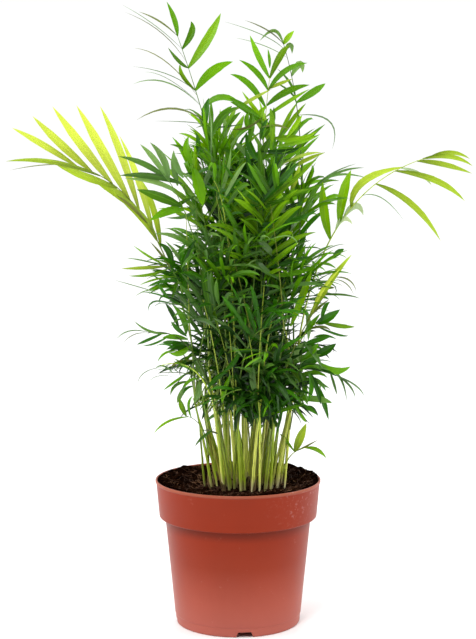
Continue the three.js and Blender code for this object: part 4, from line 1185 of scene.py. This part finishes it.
def make_fronds(stems, plans):
    leaves = {tint: Batch() for tint in LEAF_TINTS}
    stalks = {name: Batch() for name in STALK_COLOURS}
    owners = {name: set() for name in [*leaves, *stalks]}
    extra = []
    for n, (*_, from_x) in enumerate(YOUNG):
        extra += [young_plan(stem, n) for stem in stems if stem["foot"][0] > from_x]
    extra += [low_plan(stems, n) for n in range(len(LOW_TIPS))]
    for wish in SPRIGS:
        ends = {key: point(*wish[key]) for key in ("foot", "bend", "tip")}
        extra.append({**wish, **ends, "blade": SPRIG_BLADE, "scale": SPRIG_SCALE})
    for i, plan in enumerate(plans + extra):
        draw = stream(TINT_SEED + i)
        tint = None
        if plan["name"] in TIER_TINTS:
            choices = TIER_TINTS[plan["name"]]
            tint = choices[int(draw() * len(choices))]
        is_lime = plan["name"] in LIME_FRONDS or draw() < LIME_STALKS
        stalk = "stalk_lime" if is_lime and plan["name"] not in GREEN_STALKED else "stalk_green"
        used = grow_frond(plan, tint, leaves, stalks[stalk], FROND_SEED + FROND_SEED_STEP * i)
        for name in (*used, stalk):
            owners[name].add(stem_name("fronds", plan["stem"]))
    made = {}
    for tint, batch in leaves.items():
        piece = batch.make(f"leaflets_{tint}", leaf_material(f"leaf_{tint}", *LEAF_TINTS[tint]))
        made[tint] = piece
    for name, batch in stalks.items():
        piece = batch.make(f"{name}s", stalk_material(name, *STALK_COLOURS[name]))
        made[name] = piece
    for name, piece in made.items():
        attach(piece, "root")
        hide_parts(*sorted(owners[name]))


# -------- stems

STEM_SIDES = 14
STEM_ROWS = 40
SUNK = 2.0  # how far a stem goes on below the soil's level
SKIN = (0.62, 0.50)  # least thickness of a stem beside the solid's, and how much more
SKIN_R = (0.62 * STEM_FOOT_R, 0.66 * STEM_R, 0.9 * STALK_R)  # at the foot, in the middle, at the tip
SHOOTS = 2  # thin companion shoots beside each stem
SHOOT_OUT = 6.5  # distance of a companion shoot from its stem
SHOOT_AWAY = (0.8, 0.6)  # least share of that distance, and how much more it may be
SHOOT_END = (0.75, 0.23)  # the same for the share of the stem's height that it reaches
SHOOT_GIRTH = (0.65, 0.60)  # and for its thickness
SHOOT_JOINING = 1.6  # how late it nears its stem
SHOOT_R = (1.25 * 0.8, 1.25, 1.25 * 0.7)  # at the foot, in the middle, at the tip

# Old leaf sheaths on a stem: the lowest place of the upper edge, how much it varies, and how far
# the sheath stands out there.
SHEATHS = ((0.16, 0.10, 0.30), (0.42, 0.14, 0.34), (0.68, 0.10, 0.26))
SHEATH_SLANT = 0.05
SHEATH_FADE = 0.10  # share of the stem over which a sheath closes up again
SHEATH_STEP = 0.10
RIDGES, RIDGE_H = 5, 0.10
FINE_RIDGES, FINE_RIDGE_H = 9, 0.06

SCALES = 2  # dry scales at the foot of a stem
SCALE_POINTS = 5  # points up and across a scale
SCALE_OUT = 0.35  # how far a scale stands off its stem at its foot
SCALE_TALL = (6, 9)  # least height, and how much more it may be
SCALE_WIDE = (0.9, 0.7)  # the same for half its width, in radians round the stem
SCALE_FLARE = (0.4, 1.2)  # and for how far its tip stands out
SCALE_NARROWS = 0.75  # share of its width that it loses to its tip

# Colours of a stem at its foot, in its middle and at its top, how dark its streaks are, and how much
# of it is spotted. Then which of these each stem in turn has.
STEM_COLOURS = {
    "stem_pale": ((0.68, 0.61, 0.34), (0.78, 0.84, 0.15), (0.49, 0.62, 0.04), 0.28, 0.25),
    "stem_green": ((0.52, 0.50, 0.18), (0.42, 0.55, 0.04), (0.25, 0.42, 0.02), 0.20, 0.15),
    "stem_brown": ((0.30, 0.18, 0.08), (0.40, 0.38, 0.07), (0.26, 0.36, 0.03), 0.25, 0.50),
}
DRY_COLOURS = ((0.16, 0.09, 0.04), (0.26, 0.17, 0.08), (0.40, 0.30, 0.16), 0.5, 0.3)
STEM_ORDER = (0, 1, 0, 2, 1, 0, 1)


def stem_grid(line, foot_r, middle_r, tip_r, girth, draw):
    """A stem with the overlapping sheaths of its old leaves."""
    steps = np.linspace(0, 1, len(line))
    radii = smoothed(steps, [(0, foot_r), (0.10, foot_r * 1.05), (0.42, middle_r), (0.70, middle_r * 0.95),
                             (1, tip_r)])
    sheaths = [(low + spread * draw(), drop) for low, spread, drop in SHEATHS]
    turns = ring_turns(STEM_SIDES)
    slants = [TAU * draw() for _ in sheaths]
    grid_radii = np.zeros((len(line), STEM_SIDES))
    ridge = draw() * 6
    for i, s in enumerate(steps):
        ring = np.full(STEM_SIDES, radii[i])
        for (place, drop), slant in zip(sheaths, slants):
            edge = place + SHEATH_SLANT * np.cos(turns - slant)
            ring += np.where(s < edge, drop * np.exp(-np.abs(edge - s) / SHEATH_FADE), -SHEATH_STEP)
        ring += (RIDGE_H * np.sin(RIDGES * turns + ridge)
                 + FINE_RIDGE_H * np.sin(FINE_RIDGES * turns + 2 * ridge + 3 * s))
        grid_radii[i] = ring * girth
    return tube(line, grid_radii, STEM_SIDES)


def stem_line(plan):
    """The line of a stem, from just under the soil to the top of its last sheath."""
    top = plan["tip"] + heading(plan, 1) * SHAFT_H
    reach = np.linalg.norm(plan["tip"] - plan["foot"])
    points = []
    for s in np.linspace(0, 1, STEM_ROWS):
        t = s * (reach + SHAFT_H) / reach
        past = (top - plan["tip"]) * (t - 1) * reach / SHAFT_H
        points.append(along(plan, t) if t <= 1 else plan["tip"] + past)
    points = np.array(points)
    points[0][2] -= SUNK
    return points


def shoot_line(plan, draw):
    """The line of a thin companion shoot, which leaves the soil beside its stem and ends at it."""
    turn = TAU * draw()
    away = level_way(turn) * SHOOT_OUT * varied(draw, *SHOOT_AWAY)
    end = varied(draw, *SHOOT_END)
    points = []
    for s in np.linspace(0, 1, STEM_ROWS):
        place = along(plan, end * s) + away * (1 - s ** SHOOT_JOINING)
        points.append(place + point(0, 0, -SUNK * (1 - s) ** 8))
    return np.array(points)


def add_scales(batch, plan, draw):
    """Dry papery scales that stand off round the foot of a stem."""
    for _ in range(SCALES):
        turn = TAU * draw()
        tall = varied(draw, *SCALE_TALL)
        wide = varied(draw, *SCALE_WIDE)
        flare = varied(draw, *SCALE_FLARE)
        grid = np.zeros((SCALE_POINTS, SCALE_POINTS, 3))
        for i, s in enumerate(np.linspace(0, 1, SCALE_POINTS)):
            middle = along(plan, s * tall / (plan["tip"][2] - plan["foot"][2]))
            radius = STEM_FOOT_R * plan["girth"] * 0.9 + SCALE_OUT + flare * s * s
            for j, a in enumerate(np.linspace(-1, 1, SCALE_POINTS)):
                way = turn + wide * a * (1 - SCALE_NARROWS * s ** 1.5)
                grid[i, j] = middle + level_way(way) * radius
                grid[i, j, 2] += SUNK * 0.5 * (s - 1)
        batch.add_grid(grid)


def make_stems(stems):
    materials = [stalk_material(name, *colours) for name, colours in STEM_COLOURS.items()]
    scales = Batch()
    for plan in stems:
        draw = stream(SKIN_SEED + plan["index"])
        name = stem_name("stem", plan["index"])
        batch = Batch()
        girth = plan["girth"] * varied(draw, *SKIN)
        batch.add_grid(stem_grid(stem_line(plan), *SKIN_R, girth, draw), wrap=True, caps=True)
        for _ in range(SHOOTS):
            girth = varied(draw, *SHOOT_GIRTH)
            batch.add_grid(stem_grid(shoot_line(plan, draw), *SHOOT_R, girth, draw), wrap=True, caps=True)
        piece = batch.make(f"{name}_skin", materials[STEM_ORDER[plan["index"] % len(STEM_ORDER)]])
        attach(piece, "root")
        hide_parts(name)
        add_scales(scales, plan, draw)
    dry = scales.make("stem_scales", stalk_material("dry_scale", *DRY_COLOURS))
    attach(dry, "root")


# -------- pot

POT_SIDES = 160
STEP_Z = 10.0  # height of the faint line above the foot
LIP_H = 2.6  # height of the rolled lip at the rim
SHARP = 32  # degrees between faces from where an edge is drawn sharp
NOTCH_MARGIN = 0.4  # how much wider a notch is below the foot ring
NOTCH_BELOW = 1  # how far below it the cut starts

POT_BASE = (0.258, 0.022, 0.003)
POT_ROUGH = 0.40
POT_GLOSS = 0.16
POT_SHADOW = 0.66  # brightness of the painted shadow just under the collar
POT_CLOUDS = ((0.32, 0.93), (0.70, 1.08))
POT_MARKS = ((0.64, 0.0), (0.74, 0.22))
MARK_COLOUR = (0.56, 0.26, 0.20)
PALE_PATCH_STOPS = ((0.56, 0.0), (0.70, 0.34))
PALE_PATCH_COLOUR = (0.60, 0.34, 0.32)
PALE_PATCH_X = (0.025, 0.055)  # metres; the pale patches start and are full from here, to the right
PALE_PATCH_Z = (0.112, 0.125)  # and upwards


def rounded(corner_from, corner, corner_to, radius, steps=5):
    """Points that round a profile's corner off with an arc-like curve."""
    a, b, c = (np.array(p, float) for p in (corner_from, corner, corner_to))
    start = b + (a - b) * min(0.5, radius / np.linalg.norm(a - b))
    end = b + (c - b) * min(0.5, radius / np.linalg.norm(c - b))
    t = np.linspace(0, 1, steps)[:, None]
    return ((1 - t) ** 2 * start + 2 * (1 - t) * t * b + t ** 2 * end).tolist()


def lathe_profile(corners):
    """(radius, height, rounding) corners as a finely stepped profile."""
    profile = []
    for i, (r, z, rounding) in enumerate(corners):
        if rounding and 0 < i < len(corners) - 1:
            profile += rounded(corners[i - 1][:2], (r, z), corners[i + 1][:2], rounding)
        else:
            profile.append((r, z))
    return profile


def inset(r):
    return r - WALL


def circles(radii, turns, heights):
    """A grid of level circles, one for each radius and height."""
    level = np.repeat(np.reshape(heights, (-1, 1)), len(turns), 1)
    return np.stack([np.outer(radii, np.cos(turns)), np.outer(radii, np.sin(turns)), level], -1)


def make_pot():
    ledge = COLLAR_Z + WALL
    corners = [
        (0.0, 0.0, 0), (DISC_R, 0.0, 0.4), (DISC_R + CHANNEL_SLOPE, CHANNEL_H, 0.8),
        (CHANNEL_R - CHANNEL_SLOPE, CHANNEL_H, 0.8), (CHANNEL_R, 0.0, 0.4), (FOOT_R, 0.0, 0.6),
        (FOOT_R + 0.8 * FOOT_BEVEL, FOOT_BEVEL, 0.6), (BODY_FOOT_R, FOOT_Z, 1.0),
        (BODY_FOOT_R + 0.2, STEP_Z - 0.5, 0.3), (BODY_FOOT_R + 0.75, STEP_Z + 0.3, 0.4),
        (BODY_TOP_R, COLLAR_Z, 0.6), (COLLAR_R - COLLAR_BEVEL, COLLAR_Z, 0.5),
        (COLLAR_R, COLLAR_Z + COLLAR_BEVEL, 0.8),
        (RIM_R - 0.9, POT_H - LIP_H - 0.7, 0.4), (RIM_R - 0.1, POT_H - LIP_H, 0.5), (RIM_R, POT_H, 1.0),
        (inset(RIM_R), POT_H, 0.8), (inset(RIM_R) - 0.4, POT_H - LIP_H, 1.0), (inset(COLLAR_R), ledge, 1.0),
        (inset(BODY_TOP_R), ledge, 1.0), (inset(BODY_FOOT_R), CHANNEL_H + WALL, 1.5),
        (DISC_R, CHANNEL_H + WALL, 1.0), (DISC_R - CHANNEL_SLOPE, WALL, 0.8), (0.0, WALL, 0),
    ]
    profile = np.array(lathe_profile(corners))[1:-1]
    batch = Batch()
    batch.add_grid(circles(profile[:, 0], ring_turns(POT_SIDES), profile[:, 1]), wrap=True, caps=True)
    piece = batch.make("pot_shell", pot_material())
    cut_notches(piece)
    piece.data.set_sharp_from_angle(angle=math.radians(SHARP))
    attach(piece, "root")
    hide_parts("pot")


def cut_notches(piece):
    """Cuts the drain notches out of the pot's foot ring."""
    tools = []
    half_foot = NOTCH_FOOT_W / 2 + NOTCH_MARGIN
    half_top = NOTCH_TOP_W / 2
    outline = ((-half_foot, -NOTCH_BELOW), (half_foot, -NOTCH_BELOW), (half_top, NOTCH_H),
               (-half_top, NOTCH_H))
    faces = [(3, 2, 1, 0), (4, 5, 6, 7), (1, 5, 4, 0), (2, 6, 5, 1), (3, 7, 6, 2), (0, 4, 7, 3)]
    for i in range(NOTCHES):
        turn = math.radians(NOTCH_TURN + 360 / NOTCHES * i)
        out = Vector((math.cos(turn), math.sin(turn), 0))
        side = Vector((-math.sin(turn), math.cos(turn), 0))
        points = []
        for reach in ((DISC_R + CHANNEL_R) / 2 * MM, RIM_R * MM):
            for half, height in outline:
                points.append(out * reach + side * (half * MM) + Vector((0, 0, height * MM)))
        mesh = bpy.data.meshes.new(f"notch_{i}")
        mesh.from_pydata([tuple(p) for p in points], [], faces)
        tools.append(linked(f"notch_{i}", mesh))
        modifier = piece.modifiers.new(f"notch_{i}", "BOOLEAN")
        modifier.operation = "DIFFERENCE"
        modifier.solver = "EXACT"
        modifier.object = tools[-1]
    bpy.context.view_layer.update()
    shaped = bpy.data.meshes.new_from_object(piece.evaluated_get(bpy.context.evaluated_depsgraph_get()))
    piece.modifiers.clear()
    piece.data = shaped
    for tool in tools:
        bpy.data.objects.remove(tool)


def pot_material():
    """Terracotta-coloured plastic, satin, with a fine moulded grain, small rubbed marks and pale mottled
    patches on the right of the collar. Paler towards the foot as painted light reflected from the floor,
    darker just under the collar as a painted shadow, and lighter at the rim as a painted highlight."""
    base = POT_BASE
    material, tree, principled = shader("pot_plastic", base, POT_ROUGH, Specular_IOR_Level=POT_GLOSS)
    coord = object_place(tree)
    x, _, z = axes_of(tree, coord)
    clouds = noise_of(tree, coord, 9.0, 3.0)
    under = shade(base, POT_SHADOW)
    height = mapped(tree, z, 0.0, POT_H * MM, 0.0, 1.0)
    # Painted light and shade: paler towards the foot for light reflected from the floor, a painted shadow
    # band just under the collar, and a painted highlight on the rim.
    rise = ramp(tree, height, [(0.0, (0.41, 0.107, 0.078)), (0.20, (0.365, 0.076, 0.048)),
                               (0.48, (0.270, 0.030, 0.009)), (0.66, base), (0.725, under), (0.738, under),
                               (0.748, base), (0.975, base), (0.99, (0.33, 0.085, 0.045))])
    tone = times(tree, rise, greys(tree, clouds, POT_CLOUDS))
    rubbed = greys(tree, noise_of(tree, coord, 120.0, 6.0, 0.7), POT_MARKS)
    worn = mixed(tree, "MIX", rubbed, tone, MARK_COLOUR)
    # Pale mottled patches on the right of the collar.
    there = times(tree, mapped(tree, x, *PALE_PATCH_X, 0.0, 1.0), mapped(tree, z, *PALE_PATCH_Z, 0.0, 1.0))
    pale_patches = times(tree, greys(tree, noise_of(tree, coord, 210.0, 5.0, 0.75), PALE_PATCH_STOPS), there)
    tree.links.new(mixed(tree, "MIX", pale_patches, worn, PALE_PATCH_COLOUR), principled.inputs["Base Color"])
    tree.links.new(mapped(tree, clouds, 0.3, 0.7, 0.34, 0.46), principled.inputs["Roughness"])
    raised(tree, principled, noise_of(tree, coord, 900.0, 2.0), 0.08, 0.0004)
    return material


# -------- soil

SOIL_RINGS = 84
SOIL_SIDES = 200
SOIL_EDGE_GAP = 0.4  # between the soil and the pot's wall
BANK_H = 5.0  # how much higher than in the solid the soil is banked at the wall
CLODS = ((13, 0, 1.7), (5, 3, 1.0), (2, 7, 0.6))  # width, place in the noise, and height of the clods
CRUMBS = 2600
FIBRES = 900
FIBRE_POINTS = 7
# Least value, how much more it may be, and a power that makes most of them low.
CRUMB_SIZE = (0.6, 2.2, 3)
CRUMB_LONG = (0.6, 1.2)
FIBRE_LENGTH = (4, 16, 2)
FIBRE_LIFT = (0.2, 1.6, 4)
FIBRE_R = (0.12, 0.22)
FIBRE_BEND = 0.9  # most radians that a fibre turns from end to end
PEAT = (0.0034, 0.0011, 0.0006)
CRUMB_COLOUR = (0.0105, 0.0038, 0.0018)
PALE_CLOD = (0.070, 0.030, 0.014)


def soil_height(x, y):
    """Height of the soil: level near the stems, raised at the wall, heaped at one side and crumbly."""
    r = math.hypot(x, y)
    turn = math.atan2(y, x)
    share = max(0.0, (r - SOIL_FLAT_R) / (RIM_R - SOIL_FLAT_R))
    near = max(0.0, math.cos(turn - math.radians(HEAP_TURN)))
    ripple = math.sin(5 * turn + 1) + 0.6 * math.sin(9 * turn)
    heap = share * (EDGE_RISE + BANK_H + HEAP_H * near * near + RIPPLE_H * ripple)
    rough = sum(tall * noise.noise(Vector((x / wide, y / wide, at))) for wide, at, tall in CLODS)
    return SOIL_Z + heap + rough


def soil_reach(z):
    """Inner radius of the pot's wall at a height."""
    return COLLAR_R - WALL + (RIM_R - COLLAR_R) * (z - COLLAR_Z) / (POT_H - COLLAR_Z)


def make_soil():
    edge = soil_reach(SOIL_Z) - SOIL_EDGE_GAP
    turns = ring_turns(SOIL_SIDES)
    grid = np.zeros((SOIL_RINGS + 2, SOIL_SIDES, 3))
    for i, r in enumerate(edge * np.linspace(0.004, 1, SOIL_RINGS)):
        for j, turn in enumerate(turns):
            x, y = r * math.cos(turn), r * math.sin(turn)
            grid[i, j] = (x, y, soil_height(x, y))
    grid[SOIL_RINGS:] = circles((edge - 0.6, edge - 2.6), turns, (SOIL_Z - 8, COLLAR_Z + 2))
    batch = Batch()
    batch.add_grid(grid[::-1], wrap=True, caps=True)
    bed = batch.make("soil_bed", soil_material("peat", PEAT))
    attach(bed, "root")
    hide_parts("soil")
    for piece in (make_crumbs(edge), make_fibres(edge)):
        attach(piece, "root")


def soil_material(name, base):
    material, tree, principled = shader(name, base, 0.95, Specular_IOR_Level=0.0)
    clods = noise_of(tree, object_place(tree), 160.0, 8.0, 0.7)
    tone = ramp(tree, clods, [(0.30, shade(base, 0.35)), (0.50, base), (0.66, shade(base, 2.2)),
                              (0.80, PALE_CLOD)])
    tree.links.new(tone, principled.inputs["Base Color"])
    raised(tree, principled, clods, 1.0, 0.002)
    return material


def spot_on_soil(draw, edge):
    """A point on the soil's surface."""
    r = edge * math.sqrt(draw())
    turn = TAU * draw()
    x, y = r * math.cos(turn), r * math.sin(turn)
    return point(x, y, soil_height(x, y))


def make_crumbs(edge):
    """Crumbs of peat and bark on the soil: small uneven lumps."""
    draw = stream(CRUMB_SEED)
    lump = [(0, 0, 1), (1, 0, 0), (0, 1, 0), (-1, 0, 0), (0, -1, 0), (0, 0, -1)]
    faces = [(0, 1, 2), (0, 2, 3), (0, 3, 4), (0, 4, 1), (5, 2, 1), (5, 3, 2), (5, 4, 3), (5, 1, 4)]
    batch = Batch()
    for _ in range(CRUMBS):
        size = varied(draw, *CRUMB_SIZE)
        centre = spot_on_soil(draw, edge - 1.5 - size)
        turn = 6.3 * draw()
        stretch = varied(draw, *CRUMB_LONG)
        points = []
        for x, y, z in lump:
            x, y = x * math.cos(turn) - y * math.sin(turn), x * math.sin(turn) + y * math.cos(turn)
            jitter = point(draw(), draw(), draw()) * 0.5
            points.append(centre + (point(x * stretch, y, 0.7 * z) + jitter) * size)
        batch.add_mesh(points, faces)
    return batch.make("soil_crumbs", soil_material("crumb", CRUMB_COLOUR), smooth=False)


def make_fibres(edge):
    """Pale straw and root fibres that lie on the soil, some with an end in the air."""
    draw = stream(FIBRE_SEED)
    batch = Batch()
    for _ in range(FIBRES):
        middle = spot_on_soil(draw, edge - 6)
        turn = TAU * draw()
        length = varied(draw, *FIBRE_LENGTH)
        bend = FIBRE_BEND * (draw() - 0.5)
        lift = varied(draw, *FIBRE_LIFT)
        line = []
        for s in np.linspace(-0.5, 0.5, FIBRE_POINTS):
            way = turn + bend * s * 2
            x = middle[0] + length * s * math.cos(way)
            y = middle[1] + length * s * math.sin(way)
            if math.hypot(x, y) > edge - 1:
                break
            line.append(point(x, y, soil_height(x, y) + 0.5 + lift * (s + 0.5) ** 2 * 2))
        if len(line) > 3:
            radii = [varied(draw, *FIBRE_R)] * len(line)
            batch.add_grid(tube(line, radii, 4), wrap=True, caps=True)
    material, tree, principled = shader("fibre", (0.20, 0.115, 0.05), 0.8, Specular_IOR_Level=0.2)
    tone = ramp(tree, noise_of(tree, object_place(tree), 60.0, 2.0),
                [(0.40, (0.030, 0.011, 0.005)), (0.56, (0.075, 0.030, 0.014)), (0.74, (0.30, 0.155, 0.075))])
    tree.links.new(tone, principled.inputs["Base Color"])
    return batch.make("soil_fibres", material)


# -------- stage, lights and camera

FLOOR_SIDE = 30.0
FLOOR_COLOUR = (0.92, 0.92, 0.92)
CAMERA_AT = (0.0, -1.710, 0.518)
CAMERA_DOWN = 6.68  # degrees below level
FOCAL_PX = 1669.5  # focal length in pixels of the 476 x 639 frame
FRAME_PX = 639
SENSOR = 36.0
ROOM_FRONT = 0.06  # light from the camera's side
ROOM_BACK = 1.03  # from the sides and the back
ROOM_TOP = 0.62  # added overhead
LAMPS = {  # place, height that it points at, side and power
    "left": ((-1.7, -0.3, 1.1), 0.30, 1.0, 11),
    "right": ((1.7, -0.3, 1.1), 0.30, 1.0, 11),
    "key": ((-0.5, -1.5, 2.0), 0.35, 0.6, 26),
}


def make_stage():
    mesh = bpy.data.meshes.new("floor")
    half = FLOOR_SIDE / 2
    corners = [(-half, -half, 0), (half, -half, 0), (half, half, 0), (-half, half, 0)]
    mesh.from_pydata(corners, [], [(0, 1, 2, 3)])
    mesh.materials.append(shader("floor", FLOOR_COLOUR, 0.6)[0])
    floor = linked("floor", mesh)


def area_light(name, place, aim_height, side, power):
    light = bpy.data.lights.new(name, "AREA")
    light.size = side
    light.energy = power
    lamp = linked(name, light)
    lamp.location = place
    lamp.rotation_euler = (Vector((0, 0, aim_height)) - Vector(place)).to_track_quat("-Z", "Y").to_euler()


def make_lights():
    """A white room, dim in front of the plant and brighter overhead, with soft lamps at both sides."""
    world = bpy.data.worlds.new("studio")
    world.use_nodes = True
    tree = world.node_tree
    _, y, z = axes_of(tree, tree.nodes.new("ShaderNodeTexCoord").outputs["Generated"])
    front = mapped(tree, y, -0.75, 0.05, ROOM_FRONT, ROOM_BACK)
    above = mapped(tree, z, 0.15, 0.95, 0.0, ROOM_TOP)
    to_camera = tree.nodes.new("ShaderNodeLightPath").outputs["Is Camera Ray"]
    seen = calculated(tree, "MAXIMUM", calculated(tree, "ADD", front, above), to_camera)
    background = tree.nodes["Background"]
    tree.links.new(seen, background.inputs["Strength"])
    background.inputs["Color"].default_value = (1, 1, 1, 1)
    bpy.context.scene.world = world
    for name, lamp in LAMPS.items():
        area_light(name, *lamp)


def make_camera():
    data = bpy.data.cameras.new("camera")
    data.sensor_width = SENSOR
    data.lens = SENSOR * FOCAL_PX / FRAME_PX
    camera = linked("camera", data)
    camera.location = CAMERA_AT
    camera.rotation_euler = (math.radians(90 - CAMERA_DOWN), 0, 0)
    bpy.context.scene.camera = camera


# -------- the whole plant

make_camera()
make_stage()
make_lights()
make_pot()
make_soil()

stems = [stem_plan(i) for i in range(STEMS)]
for stem in stems:
    stem["spine"] = spine_points(stem)[0]
make_stems(stems)
make_fronds(stems, plan_fronds(stems))

bpy.context.scene.view_settings.view_transform = "Standard"
